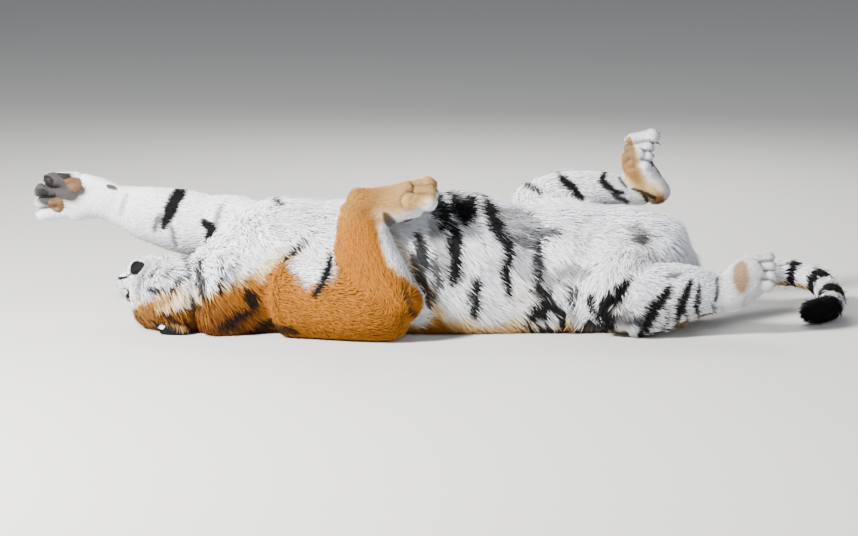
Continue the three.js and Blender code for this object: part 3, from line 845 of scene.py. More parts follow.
# Stripes, and a few soft marks of painted shade: the parts they lie on, then each one's width, darkness and a
# line of points. A point is x and the height seen from the side, z + 0.176 y, as the side looks from ten
# degrees up.
sideLift = np.tan(radians(cameraPlace["elevation"]))
arm, body = ("upper_arm_left", "forearm_left"), ("trunk",)
leg = ("shank_left", "thigh_left", "hind_foot_left")
nearLeg = ("thigh_right", "shank_right", "trunk", "hind_foot_right")
throat, shoulder = ("neck", "head"), ("trunk", "upper_arm_right")
stripesAndShade = [
    (arm, [
        (34, 0.95, (-708, 452), (-735, 410), (-752, 375), (-772, 322)),
        (10, 0.5, (-785, 365), (-795, 340), (-806, 305)), (9, 0.5, (-748, 325), (-736, 262)),
        (12, 0.2, (-896, 425), (-916, 360)),
    ]),
    (arm + ("neck", "trunk"), [
        (27, 0.95, (-648, 338), (-612, 316), (-622, 282), (-632, 250)),
        (9, 0.4, (-606, 315), (-583, 392)),
    ]),
    (body, [
        (24, 0.85, (-406, 410), (-382, 375)), (36, 0.92, (176, 326), (183, 257), (178, 185), (170, 150)),
        (26, 0.9, (126, 402), (134, 376), (152, 342), (140, 318)),
        (14, 0.7, (104, 392), (112, 362), (122, 340)),
        (30, 0.92, (158, 410), (178, 380), (202, 350), (214, 328)),
        # the soft grey clouds of darkness 0.32 to 0.36 are painted shade over the belly and beside the near
        # foreleg, with some darker hair in them
        (18, 0.6, (176, 400), (204, 384), (214, 366)), (64, 0.36, (300, 350), (380, 322), (450, 300)),
        (56, 0.32, (350, 240), (420, 200), (470, 150)), (50, 0.34, (110, 330), (140, 250), (120, 180)),
        (40, 0.95, (232, 412), (214, 335)), (26, 0.88, (252, 172), (240, 110), (242, 46)),
        (38, 0.9, (270, 395), (296, 335), (320, 288)),
        (32, 0.92, (340, 296), (348, 240), (340, 190), (352, 110)),
        (26, 0.6, (368, 285), (410, 262), (455, 268)),
        (25, 0.85, (450, 278), (440, 225), (446, 170), (428, 120)),
        # the strokes from x 45 to 128 with darkness 0.7 to 0.8 are stripes in part and painted shade in part:
        # the near foreleg's shadow on the ribs
        (22, 0.6, (392, 312), (440, 282), (500, 300)), (28, 0.75, (45, 240), (70, 160), (98, 80)),
        (28, 0.8, (62, 292), (88, 200)), (22, 0.7, (110, 240), (128, 170), (118, 100)),
        (38, 0.35, (742, 300), (780, 268)),
    ]),
    (shoulder, [
        (15, 0.9, (-286, 285), (-322, 255), (-358, 208), (-368, 180)),
        (19, 0.92, (-212, 240), (-216, 190), (-238, 135), (-262, 98)),
    ]),
    (throat, [
        (9, 0.75, (-700, 220), (-672, 190), (-652, 158)), (7, 0.55, (-676, 190), (-662, 145)),
        (11, 0.8, (-616, 204), (-602, 158), (-588, 112)),
        (9, 0.85, (-556, 220), (-553, 175), (-560, 125)), (7, 0.5, (-524, 205), (-538, 160)),
        (7, 0.45, (-500, 232), (-512, 185), (-520, 140)), (6, 0.4, (-470, 215), (-480, 160)),
        (15, 0.7, (-655, 112), (-600, 84)),
    ]),
    (throat + shoulder, [
        (30, 0.8, (-478, 135), (-446, 90)), (20, 0.7, (-446, 88), (-500, 55), (-560, 20)),
        (24, 0.6, (-510, -10), (-410, 10), (-320, -16)),
    ]),
    (("forearm_right", "forepaw_right"), [
        (26, 0.6, (-42, 352), (-18, 312), (8, 285)),
    ]),
    (("forearm_right", "upper_arm_right"), [
        (7, 0.45, (12, 118), (28, 78)), (7, 0.45, (30, 66), (42, 20)),
    ]),
    (nearLeg, [
        (30, 0.88, (446, 136), (472, 95)), (44, 0.35, (470, 150), (540, 190), (600, 176)),
        (18, 0.7, (536, 150), (556, 112), (560, 60)),
        (32, 0.92, (405, 20), (430, 52), (468, 88), (510, 76)),
        (24, 0.88, (488, 134), (470, 85), (470, 35)), (28, 0.88, (515, 92), (524, 40), (530, -12)),
        (36, 0.92, (598, 104), (592, 50), (574, -12)), (36, 0.94, (650, 110), (642, 50), (650, -18)),
        (24, 0.8, (390, -2), (470, 4), (560, -4)), (32, 0.94, (722, 146), (692, 105), (662, 68)),
        (30, 0.92, (846, 126), (816, 90), (790, 50), (757, -18)),
        (22, 0.9, (914, 142), (890, 85), (868, 22)), (10, 0.8, (942, 134), (933, 46)),
        (7, 0.5, (830, 154), (884, 166)), (34, 0.85, (972, 202), (1012, 176)),
        (8, 0.7, (998, 148), (1000, 110), (994, 78)),
    ]),
    (leg, [
        (13, 0.9, (388, 462), (430, 448), (474, 434)), (19, 0.92, (518, 488), (560, 450), (600, 416)),
        (13, 0.9, (670, 502), (658, 470), (700, 438), (728, 434)),
        (8, 0.75, (662, 454), (700, 425), (746, 406)), (7, 0.7, (716, 480), (740, 450)),
        (7, 0.7, (760, 447), (800, 432), (836, 414)), (8, 0.75, (782, 441), (800, 420), (814, 400)),
    ]),
]
markingDepth = 2.2  # makes a marking of middling darkness look as dark as it says, since light adds up
mirroredParts = ("trunk", "neck", "head", "upper_arm_right")


def strokeShade(x, y, line, width):
    # distance to a line of points against half the width, which tapers to a third at both ends
    line = np.array(line, float)
    best = np.full(len(x), -1e9)
    count = len(line) - 1
    for k in range(count):
        (x1, y1), (x2, y2) = line[k], line[k + 1]
        t = np.clip(((x - x1) * (x2 - x1) + (y - y1) * (y2 - y1)) / ((x2 - x1) ** 2 + (y2 - y1) ** 2), 0, 1)
        far = np.hypot(x - x1 - t * (x2 - x1), y - y1 - t * (y2 - y1))
        along = (k + t) / count
        half = width / 2 * (0.45 + 0.75 * np.sin(np.pi * np.clip(along, 0, 1)) ** 0.6)
        best = np.maximum(best, half - far)
    return best


def partShare(read, *names):
    return sum(read["weight"][:, limbNames.index(name)] for name in names)


def stripeShade(points, read):
    rough = 2.0 * softNoise(points, 13, 4.4) + 3.0 * softNoise(points, 34, 9.2)
    wander = 14 * softNoise(points, 70, 2.2)
    shade = np.zeros(len(points))
    for parts, strokes in stripesAndShade:
        share = partShare(read, *parts)
        mirrored = parts[0] in mirroredParts
        flipped = (points[:, 1] > 0) & mirrored
        x = points[:, 0] + np.where(flipped, wander + 16, 0)
        height = points[:, 2] + sideLift * np.where(flipped, -points[:, 1], points[:, 1])
        here = (share > 0.05) & (mirrored | (read["outwards"][:, 1] < 0.45))
        for width, dark, *line in strokes:
            xs, hs = np.array(line).T
            reach = width / 2 + 12
            near = here & (x > xs.min() - reach) & (x < xs.max() + reach)
            near &= (height > hs.min() - reach) & (height < hs.max() + reach)
            inside = strokeShade(x[near], height[near], line, width) + rough[near]
            mark = dark * ease(inside, -6, 1.5) * ease(share[near], 0.05, 0.35)
            shade[near] = np.maximum(shade[near], mark)
    return shade


bands = {  # on the hidden sides of the limbs: spacing, share that is black, how dark, and the limb's length
    "thigh_left": (52, 0.36, 0.9, 330), "shank_left": (46, 0.34, 0.9, 400),
    "upper_arm_left": (95, 0.2, 0.8, 300), "forearm_left": (120, 0.14, 0.7, 350),
    "thigh_right": (52, 0.36, 0.9, 200), "shank_right": (46, 0.3, 0.9, 300),
}
tailRings = {
    "length": 964, "start": 20, "spacing": 118, "black": 0.46, "dark": 0.95, "blackTip": (0.85, 0.89),
}


def ringWave(along):
    # 0 in the middle of each light ring and 1 in the middle of each dark one
    return np.abs(along % 1 - 0.5) * 2


def bandShade(points, read):
    wander = softNoise(points, 60, 6.6)
    shade = np.zeros(len(points))
    for name, (spacing, black, dark, length) in bands.items():
        along = read["share"][:, limbNames.index(name)] * length + 26 * wander
        outer = ease(dot(read["outwards"], np.array(orangeSides[name][0])), 0.1, 0.5)
        edge = black * (0.6 + 0.4 * outer)
        ring = ease(ringWave(along / spacing), edge + 0.06, edge - 0.06)
        shade = np.maximum(shade, partShare(read, name) * outer * dark * ring)
    share = read["share"][:, limbNames.index("tail")]
    along = share * tailRings["length"] + tailRings["start"] + 12 * wander
    black = tailRings["black"] + 0.25 * ease(share, 0.6, 0.95)
    ring = ease(ringWave(along / tailRings["spacing"]), black + 0.07, black - 0.07)
    ring = np.maximum(ring, ease(share, *tailRings["blackTip"])) * ease(share, 0.06, 0.12)
    return np.maximum(shade, partShare(read, "tail") * tailRings["dark"] * ring)


faceStrokes = [  # width, darkness and points (back, up) on both cheeks
    (12, 0.85, [(249, -30), (288, -24), (314, -42)]),
    (9, 0.7, [(238, -68), (262, -50)]),
    (12, 0.85, [(330, -70), (334, -50), (328, -32)]),
    # the light grey stroke below is painted shade in the fold behind the muzzle
    (22, 0.28, [(184, -64), (206, -34), (198, 2)]),
    (8, 0.6, [(282, -78), (300, -58)]),
    (5, 0.75, [(204, -4), (206, 24)]),
    (24, 0.6, [(306, 22), (345, 55), (372, 74)]),
    (12, 0.7, [(232, 66), (262, 88), (285, 92)]),
    (12, 0.65, [(196, 84), (215, 104)]),
]


def faceShade(points, read):
    # cheek strokes, bars over the crown, the eyes' rims and corners, the lips and the rows of whisker spots
    b, a, u = headMeasures(points).T
    onHead = partShare(read, "head")
    rough = 2.5 * softNoise(points, 9, 3.1)
    cheek = (np.abs(a) > 60) & (onHead > 0.05)
    marks = []
    for width, dark, line in faceStrokes:
        marks.append(cheek * dark * ease(strokeShade(b, u, line, width) + rough, -2, 3))
    crown = ease(u, 66, 84) * ease(np.abs(a), 104, 80) * ease(b, 142, 160)
    wave = ringWave((b + 0.3 * np.abs(a) + 5 * softNoise(points, 40, 5.5)) / 30)
    marks.append(crown * 0.9 * ease(wave, 0.5, 0.36) * ease(np.abs(a), 3, 9))
    for side in (1, -1):
        x, y, z = eyeMeasures(points, side)
        marks.append(ease(np.hypot(x / 1.35, y) + 0.8 * rough, 19.5, 15) * (z > -12) * 0.97)
        corners = [strokeShade(x, y, line, width) for line, width in face["eyeCorners"]]
        marks.append(ease(np.maximum(*corners), -1, 2) * (z > -16) * 0.85)
    lips = ease(np.abs(u - mouthHeight(b) + 1.5), 6.5, 4) * ease(b, 126, 118) * (np.abs(a) < 100)
    marks.append(lips * 0.96 * onHead)
    marks.append(ease(lipPatch(points) + 0.04 * rough, 1.1, 0.98) * 0.97)
    row = np.round((u - 6) / 8.5)
    spot = np.hypot((b - 28 + 3 * row) % 9.5 - 4.75, u - 6 - 8.5 * row)
    whiskerPad = (row >= 0) & (row <= 3) & (b > 26) & (b < 66) & (np.abs(a) > 34)
    marks.append(whiskerPad * ease(spot, 2.6, 1.4) * 0.85 * onHead)
    return np.maximum.reduce(marks)


spots = {  # soft patches of colour: x, y, z and reach of each ball
    "footBand": [(1076, -262, 158, 20), (1074, -245, 192, 25), (1072, -232, 228, 22)],
    # the sole balls are painted shade over the far forepaw's sole and between its pads, with darker hair in
    # part
    "sole": [(-1165, 150, 420, 40), (-1115, 150, 470, 42), (-1142, 150, 398, 34), (-1126, 148, 440, 40),
             (-1072, 140, 402, 26), (-1040, 140, 416, 14)],
    "tuft": [(764, -131, 304, 26)],  # darker hair between the thighs
    "wedge": [(-262, -260, 252, 80)],  # white hair in front of the near elbow
    "brows": [(*headPoint(132.0, across, 98.0), 30) for across in (58.0, -58.0)],
    "ears": [(*headPoint(298.0, across, 99.0), 10) for across in (132.0, -132.0)],
}
# back and up of the line over which the head is orange
orangeLine = ([0, 120, 164, 215, 266, 300, 347, 420], [140, 105, 64, 30, 2, -24, -58, -80])


def orangeShare(points, read, soft, fine):
    # by the way each limb's orange side faces, and on the head by the orange line, the bridge and the brows
    orange = np.zeros(len(points))
    for name, (side, low, high, strength) in orangeSides.items():
        facing = dot(read["outwards"], np.array(side, float)) + 0.10 * soft + 0.05 * fine
        if name == "neck":  # the orange climbs the neck towards the shoulder
            facing = facing + 0.38 * ease(points[:, 0], -690, -540)
        orange += partShare(read, name) * ease(facing, low, high) * strength
    b, a, u = headMeasures(points).T
    crown = ease(u - np.interp(b, *orangeLine) + 12 * soft + 8 * fine, -22, 26) * ease(b, 120, 150)
    bridge = ease(np.abs(a) + 5 * fine, 34, 24) * ease(u, 34, 52)
    crown = np.maximum(crown, bridge) * (1 - ease(ballSum(points, spots["brows"]), 0.35, 0.8))
    return np.clip(orange + partShare(read, "head") * crown, 0, 1)


def furColour(points, read):
    # white, then each layer over the last by its share, and black where the markings are
    soft = softNoise(points, 55, 0.4)
    fine = softNoise(points, 12, 7.7)
    orange = orangeShare(points, read, soft, fine)
    b, _, u = headMeasures(points).T
    onHead, paw = partShare(read, "head"), partShare(read, *feet)
    cheek = onHead * ease(b, 110, 190) * ease(u, -112, -48)
    # darker orange-brown low on the neck and shoulder, darkest towards the floor: deeper fur colour in part
    # and painted shade in part
    rustAndShade = ease(orange, 0.5, 0.9) * ease(points[:, 2], 190, 70) * ease(points[:, 0], -330, -500)
    band, sole, tuft, wedge, earSpot = (
        ballSum(points, spots[name]) for name in ("footBand", "sole", "tuft", "wedge", "ears"))
    hindFeet = partShare(read, "hind_foot_left", "hind_foot_right")
    # painted shade: dark in the creases between the toes
    toeGapShade = sum(toeGap(first, second, 0.2) for first, second, _ in toeReach(points))
    wedge = wedge * (1 - partShare(read, "forearm_right")) + 0.08 * soft + 0.07 * fine
    white, cream, grey = furColours["white"], furColours["cream"], furColours["grey"]
    pawTan = blend(furColours["orange"], furColours["tan"], paw)
    layers = [
        (cream, 0.25 * ease(soft, 0, 1)),
        # painted shade: grey over the lower cheek and jaw, for the shade there
        (grey, np.clip((0.46 + 0.16 * fine + 0.12 * soft) * cheek, 0, 1)),
        (cream, ease(orange, 0.02, 0.35)),
        (pawTan, ease(orange, 0.25, 0.75)),
        (furColours["fawn"], onHead * ease(orange, 0.3, 0.8) * np.clip(0.6 + 0.3 * soft, 0, 1)),
        # painted shade in part: the deep orange-brown low on the neck
        (furColours["rustAndShade"], rustAndShade * (1 - 0.6 * onHead) * np.clip(0.85 + 0.5 * fine + 0.3 * soft, 0, 1)),
        (furColours["tan"], np.clip(1.4 * band + 0.25 * soft * band, 0, 0.9)),
        # painted shade: the hind feet greyed, for the shade on them
        (grey, np.clip((0.16 + 0.16 * soft + 0.1 * fine) * hindFeet, 0, 0.5)),
        # painted shade in the creases between the toes
        (grey * 0.3, np.clip(0.75 * toeGapShade, 0, 0.75) * paw),
        # painted shade over the far forepaw's sole, with darker hair in part
        (grey * 0.16, np.clip(sole * 1.6, 0, 0.97) * (points[:, 1] < 172)),
        (grey * [0.5, 0.42, 0.34], np.clip(tuft * 1.9 + 0.3 * fine * (tuft > 0.2), 0, 0.92)),
        (white, ease(wedge, 0.2, 0.55)),
    ]
    colour = white * np.ones((len(points), 1))
    for over, share in layers:
        colour = blend(colour, over, share)
    ears = 0.93 * ease(partShare(read, "ear_right", "ear_left") * (1 - ease(earSpot, 0.4, 0.75)), 0.35, 0.7)
    marks = [stripeShade(points, read), bandShade(points, read), faceShade(points, read), ears]
    shade = np.maximum.reduce(marks)
    return blend(colour, furColours["black"], 1 - (1 - np.clip(shade, 0, 1)) ** markingDepth)


skinColour = furColour(skinPoints, skinBody)
print("markings painted")


# materials
def addNode(tree, kind, settings=None, **links):
    # settings are the node's own choices; links go into its sockets by name, a socket or a plain value each
    node = tree.nodes.new("ShaderNode" + kind)
    for key, value in (settings or {}).items():
        setattr(node, key, value)
    for key, value in links.items():
        setSocket(tree, node.inputs[key.replace("_", " ")], value)
    return node


def setSocket(tree, socket, value):
    if isinstance(value, bpy.types.NodeSocket):
        tree.links.new(value, socket)
    else:
        socket.default_value = value


def mathNode(tree, operation, *values):
    node = addNode(tree, "Math", {"operation": operation})
    for socket, value in zip(node.inputs, values):
        setSocket(tree, socket, value)
    return node.outputs[0]


def hairRelief(group, place, given):
    # fine hair seen close: streaks of noise that lighten and darken the colour, and their height
    fine = addNode(group, "TexNoise", Vector=place, Scale=given["Scale"], Detail=4.0, Roughness=0.7)
    broad = addNode(group, "TexNoise", Vector=place, Scale=38.0, Detail=2.0)
    fine, broad = fine.outputs["Fac"], broad.outputs["Fac"]
    around = mathNode(group, "SUBTRACT", mathNode(group, "ADD", fine, broad), 1.0)
    return mathNode(group, "MULTIPLY_ADD", around, given["Strength"], 1.0), fine, fine


def leatherRelief(group, place, given):
    # small cells with soft creases between them, for nose, pads and eyelids
    cells = addNode(group, "TexVoronoi", {"feature": "DISTANCE_TO_EDGE"}, Vector=place, Scale=given["Scale"])
    blotch = addNode(group, "TexNoise", Vector=place, Scale=70.0, Detail=3.0).outputs["Fac"]
    crease = addNode(group, "MapRange", Value=cells.outputs["Distance"], From_Max=0.12).outputs[0]
    dark = mathNode(group, "MULTIPLY_ADD", crease, 0.22, 0.7)
    patchy = mathNode(group, "MULTIPLY_ADD", blotch, 0.4, dark)
    return mathNode(group, "SUBTRACT", patchy, 0.12), crease, blotch


def makeGrain(name, relief, roughness, values):
    # relief gives a brightness for the colour, a height, and what the roughness follows between two limits
    group = bpy.data.node_groups.new(name, "ShaderNodeTree")
    for label in ("Colour", *values):
        kind = "NodeSocketColor" if label == "Colour" else "NodeSocketFloat"
        socket = group.interface.new_socket(label, in_out="INPUT", socket_type=kind)
        if label in values:
            socket.default_value = values[label]
    for label, kind in (("Colour", "Color"), ("Roughness", "Float"), ("Height", "Float")):
        group.interface.new_socket(label, in_out="OUTPUT", socket_type="NodeSocket" + kind)
    given, out = group.nodes.new("NodeGroupInput").outputs, group.nodes.new("NodeGroupOutput")
    brightness, height, follows = relief(group, addNode(group, "TexCoord").outputs["Object"], given)
    tinted = addNode(group, "VectorMath", {"operation": "SCALE"}, Scale=brightness)
    group.links.new(given["Colour"], tinted.inputs[0])
    rough = addNode(group, "MapRange", Value=follows, To_Min=roughness[0], To_Max=roughness[1])
    for label, socket in (("Colour", tinted.outputs[0]), ("Roughness", rough.outputs[0]), ("Height", height)):
        group.links.new(socket, out.inputs[label])
    return group


hairGrain = makeGrain("hairGrain", hairRelief, (0.62, 0.9), {"Scale": 260.0, "Strength": 0.2})
leatherGrain = makeGrain("leatherGrain", leatherRelief, (0.38, 0.6), {"Scale": 420.0})


def makeMaterial(name, grain, values, colour=None, bump=0.2, distance=0.0006, shader=None):
    # one grain group into the Principled shader; without a plain colour it reads the painted one
    material = bpy.data.materials.new(name)
    material.use_nodes = True
    tree = material.node_tree
    surface = tree.nodes["Principled BSDF"]
    for key, value in (shader or {}).items():
        surface.inputs[key].default_value = value
    if colour is None:
        colour = addNode(tree, "Attribute", {"attribute_name": "coat"}).outputs["Color"]
    else:
        colour = (*colour, 1)
    group = addNode(tree, "Group", {"node_tree": grain}, Colour=colour, **values)
    raised = addNode(tree, "Bump", Height=group.outputs["Height"], Strength=bump, Distance=distance)
    tree.links.new(group.outputs["Colour"], surface.inputs["Base Color"])
    tree.links.new(group.outputs["Roughness"], surface.inputs["Roughness"])
    tree.links.new(raised.outputs["Normal"], surface.inputs["Normal"])
    return material


furShader = {"Specular IOR Level": 0.12}
skinMaterial = makeMaterial("skinUnderCoat", hairGrain, {"Scale": 420.0, "Strength": 0.35}, bump=0.7,
                            distance=0.002, shader=furShader)
coatMaterial = makeMaterial("coatHair", hairGrain, {"Scale": 300.0, "Strength": 0.16}, bump=0.1,
                            shader=furShader)


def paintPoints(piece, colours):
    layer = piece.data.color_attributes.new("coat", "FLOAT_COLOR", "POINT")
    rgba = np.ones((len(colours), 4), np.float32)
    rgba[:, :3] = colours
    layer.data.foreach_set("color", rgba.ravel())


fleshNodes = [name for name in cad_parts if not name.startswith(("eye", "nose"))]
skin = newPiece("skin", skinPoints, skinFaces, skinMaterial)
paintPoints(skin, skinColour)
fewer = skin.modifiers.new("fewer", "DECIMATE")
fewer.ratio = skinMake["kept"]
finishPiece(skin)
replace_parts(skin, *fleshNodes)
print("skin made")


# the coat: closed three-sided locks, each a root ring, a middle ring and a tip
coatSet = {
    "locks": 142000, "rootSink": 2.0, "lowest": 0.4,
    "lengths": (0.72, 1.2), "rises": (0.55, 1.15), "widths": (0.75, 1.25), "brightness": (0.82, 1.08),
    "middle": 0.42, "end": 0.93,  # how far along its length a lock's middle ring and its tip lie
    "wander": 0.3, "clump": 17.0, "gather": 0.4,  # strays from the lie; size of a clump and pull into it
    "loose": 0.2, "looseRises": (5, 19),  # share of the long locks that stand off, and by how much
    # a lock's root, middle and tip are painted from darker to lighter: painted shade deep in the coat, with a
    # darker undercoat in part
    "rootToTipShade": (0.7, 0.96, 1.05), "softShade": 0.65, "carry": 0.5,
    "patch": 0.0028,  # side of a lock's place on the unwrap
}
# millimetres between roots before the whole is scaled to the number of locks
rootSpacing = {
    "head": 3.7, "ear_right": 3.4, "ear_left": 3.4, "neck": 4.6, "trunk": 5.0, "tail": 4.8,
    "upper_arm_left": 4.9, "forearm_left": 4.8, "forepaw_left": 3.5,
    "upper_arm_right": 4.8, "forearm_right": 4.6, "forepaw_right": 3.7,
    "thigh_left": 4.8, "shank_left": 4.4, "hind_foot_left": 3.7,
    "thigh_right": 4.8, "shank_right": 4.5, "hind_foot_right": 3.7,
}
coatPieces = {  # the limbs of each piece, and from which to which share of the way along them
    "coat_head": (("head", "ear_right", "ear_left"), 0, 1), "coat_neck": (("neck",), 0, 1),
    "coat_chest": (("trunk",), 0, 0.3), "coat_ribs": (("trunk",), 0.3, 0.52),
    "coat_belly": (("trunk",), 0.52, 0.74), "coat_loin": (("trunk",), 0.74, 1),
    "coat_foreleg_left": (("upper_arm_left", "forearm_left", "forepaw_left"), 0, 1),
    "coat_foreleg_right": (("upper_arm_right", "forearm_right", "forepaw_right"), 0, 1),
    "coat_hind_leg_left": (("thigh_left", "shank_left", "hind_foot_left"), 0, 1),
    "coat_hind_leg_right": (("thigh_right", "shank_right", "hind_foot_right"), 0, 1),
    "coat_tail": (("tail",), 0, 1),
}
random = np.random.default_rng(21)


def scatterRoots(density):
    # roots at even steps of the running total of area x density, each at a random place in its triangle
    triangles = np.concatenate([skinFaces[:, [0, 1, 2]], skinFaces[:, [0, 2, 3]]])
    triangles = triangles[np.argsort(np.tile(np.arange(len(skinFaces)), 2), kind="stable")]
    a, b, c = (skinPoints[triangles[:, k]] for k in range(3))
    area = np.linalg.norm(np.cross(b - a, c - a), axis=1) / 2
    total = np.cumsum(area * density[triangles].mean(1))
    steps = (np.arange(coatSet["locks"]) + random.random(coatSet["locks"])) / coatSet["locks"] * total[-1]
    chosen = np.clip(np.searchsorted(total, steps), 0, len(triangles) - 1)
    share = random.random((len(chosen), 2))
    share = np.where(share.sum(1, keepdims=True) > 1, 1 - share, share)
    return triangles[chosen], np.column_stack([1 - share.sum(1), share])


def takeAt(values, corners, weights):
    return np.einsum("nk,nk...->n...", weights, values[corners])


def nakedPlaces(points):
    # no hair on the eyes' slits, the lip patches, the lips, the pads and what lies flat on the floor
    bare = points[:, 2] < 6
    for side in (1, -1):
        x, y, z = eyeMeasures(points, side)
        bare |= (np.hypot(x / 1.3, y) < 15) & (z > -14)
    b, a, u = headMeasures(points).T
    bare |= (lipPatch(points) < 0.9) | (padPlaces(points) < 0.86)
    bare |= (np.abs(u - mouthHeight(b) + 1) < 3) & (b < 120) & (np.abs(a) < 100)
    return bare


def rootDensity():
    # one over the square of the spacing, which widens over the back of the head
    spacing = sum(skinBody["weight"][:, k] * rootSpacing[name] for k, name in enumerate(limbNames))
    spacing = spacing + partShare(skinBody, "head") * 1.1 * ease(headMeasures(skinPoints)[:, 0], 150, 260)
    return np.where(nakedPlaces(skinPoints), 0, 1 / spacing**2)


def coatChart(read, parts, low, high):
    # the unwrap of a piece: along each limb and round it, the limbs one above the other
    along, height = np.zeros(len(read["part"])), np.zeros(len(read["part"]))
    for row, part in enumerate(parts):
        k = limbNames.index(part)
        mine = read["part"] == k
        along[mine] = np.clip((read["share"][mine, k] - low) / (high - low), 0, 1)
        height[mine] = (row + 0.03 + 0.94 * (read["angle"][mine, k] / (2 * np.pi) + 0.5)) / len(parts)
    return np.column_stack([0.01 + 0.97 * along, 0.01 + 0.97 * height])


# a lock's corners are 0 to 2 at the root, 3 to 5 in the middle and 6 at the tip
lockFaces = np.array([
    (0, 2, 1), (0, 4, 3), (0, 1, 4), (1, 5, 4), (1, 2, 5),
    (2, 3, 5), (2, 0, 3), (3, 4, 6), (4, 5, 6), (5, 3, 6),
])
lockPatch = np.array([(0.33, 0), (0.66, 0), (1, 0), (0, 0.5), (0.33, 0.5), (0.66, 0.5), (0.5, 1)])


def threeNoises(points, size, shifts):
    return np.stack([softNoise(points, size, shift) for shift in shifts], -1)


def gatherTips(root, tip, hair):
    # long hair clumps: the tips rooted in one cell of a wavy lattice are drawn towards their mean
    wavy = root + 7 * threeNoises(root, 21, (0.7, 3.9, 7.1))
    cell = np.floor(wavy / coatSet["clump"]).astype(int)
    group = np.unique(cell, axis=0, return_inverse=True)[1].ravel()
    size = np.bincount(group)
    mean = np.stack([np.bincount(group, column) / size for column in tip.T], -1)[group]
    return blend(tip, mean, coatSet["gather"] * ease(hair, 14, 42))


def lockMesh(name, points, shading, colours, chart):
    # all the locks of a piece in one mesh; on the unwrap each lock is a patch at its root's place
    faces = (np.arange(len(points))[:, None, None] * 7 + lockFaces).reshape(-1, 3)
    mesh = bpy.data.meshes.new(name)
    mesh.vertices.add(len(points) * 7)
    mesh.vertices.foreach_set("co", (points * mm).astype(np.float32).ravel())
    mesh.loops.add(faces.size)
    mesh.loops.foreach_set("vertex_index", faces.astype(np.int32).ravel())
    mesh.polygons.add(len(faces))
    mesh.polygons.foreach_set("loop_start", np.arange(0, faces.size, 3, dtype=np.int32))
    mesh.update(calc_edges=True)
    mesh.shade_smooth()
    unwrap = mesh.uv_layers.new(name="OFBake")
    patch = chart[:, None] + lockPatch[lockFaces].reshape(-1, 2) * coatSet["patch"]
    unwrap.uv.foreach_set("vector", patch.astype(np.float32).ravel())
    mesh.normals_split_custom_set_from_vertices(shading.reshape(-1, 3).astype(np.float32))
    mesh.materials.append(coatMaterial)
    piece = addObject(name, mesh)
    paintPoints(piece, np.clip(colours.reshape(-1, 3), 0, 1))
    finishPiece(piece)
    print(name, len(faces), "triangles")


def growLocks(name, root, normal, lie, depth, hair, droop, colour, tipColour, chart):
    # root ring under the skin, middle ring lifted to the coat's depth, tip laid down along the coat
    count = len(root)
    length = hair * random.uniform(*coatSet["lengths"], count)
    sway = threeNoises(root, 46, (1.1, 5.2, 9.3)) + 0.6 * threeNoises(root, 17, (2.1, 6.2, 3.3))
    sway += random.normal(0, 0.35, (count, 3))
    soft = ease(hair, 12, 50)[:, None]
    hang = np.outer(droop * ease(hair, 12, 40), [0, 0, -1])
    heading = squared(unit(lie + sway * coatSet["wander"] * (0.45 + 0.9 * soft) + hang), normal)
    side = np.cross(heading, normal)
    loose = random.random(count) < coatSet["loose"] * ease(hair, 26, 46)
    rise = depth * random.uniform(*coatSet["rises"], count)
    rise += loose * random.uniform(*coatSet["looseRises"], count)
    bend = random.normal(0, 0.10, count) * length
    width = np.clip(0.055 * length + 1.7, 1.9, 4.6) * random.uniform(*coatSet["widths"], count)
    half = (width * (1 - 0.35 * loose) / 2)[:, None]
    base = root - normal * coatSet["rootSink"]
    middle = root + heading * (length * coatSet["middle"])[:, None] + normal * (rise * 0.72)[:, None]
    tip = root + heading * (length * coatSet["end"])[:, None] + normal * rise[:, None] + side * bend[:, None]
    tip[:, 2] -= 0.05 * length * soft[:, 0]
    rings = [base - side * half, base + normal * half * 0.9, base + side * half]
    rings += [middle - side * half * 0.8, middle + normal * half * 0.8, middle + side * half * 0.8]
    points = np.stack([*rings, gatherTips(root, tip, hair)], 1)
    points[..., 2] = np.maximum(points[..., 2], coatSet["lowest"])
    bright = random.uniform(*coatSet["brightness"], count)[:, None]
    # painted shade: darker at the root, lighter at the tip, with a darker undercoat in part
    first, second, last = coatSet["rootToTipShade"]
    colours = np.stack([colour * first] * 3 + [tipColour * second] * 3 + [tipColour * last], 1)
    # a lock is shaded mostly as the skin under it, so that the coat lights as one soft surface
    tilt = normal + random.normal(0, 0.14, (count, 3))
    own = np.stack([-side, normal, side] * 2 + [normal], 1)
    shading = unit(tilt[:, None] * coatSet["softShade"] + own * (1 - coatSet["softShade"]))
    lockMesh(name, points, shading, colours * bright[:, None], chart)


corners, weights = scatterRoots(rootDensity())
blended = ("weight", "lie", "outwards", "depth", "hair", "droop")
rootRead = {key: takeAt(skinBody[key], corners, weights) for key in blended}
rootPoints = takeAt(skinPoints, corners, weights)
rootNormals = unit(takeAt(skinNormals, corners, weights))
nearest = corners[np.arange(len(corners)), weights.argmax(1)]
for key in ("part", "share", "angle"):
    rootRead[key] = skinBody[key][nearest]
keep = ~nakedPlaces(rootPoints)
keep &= ~((rootPoints[:, 2] < 12) & (rootNormals[:, 2] < -0.6))
rootRead["hair"] = rootRead["hair"] * (0.35 + 0.65 * ease(lipPatch(rootPoints), 1.0, 2.0))
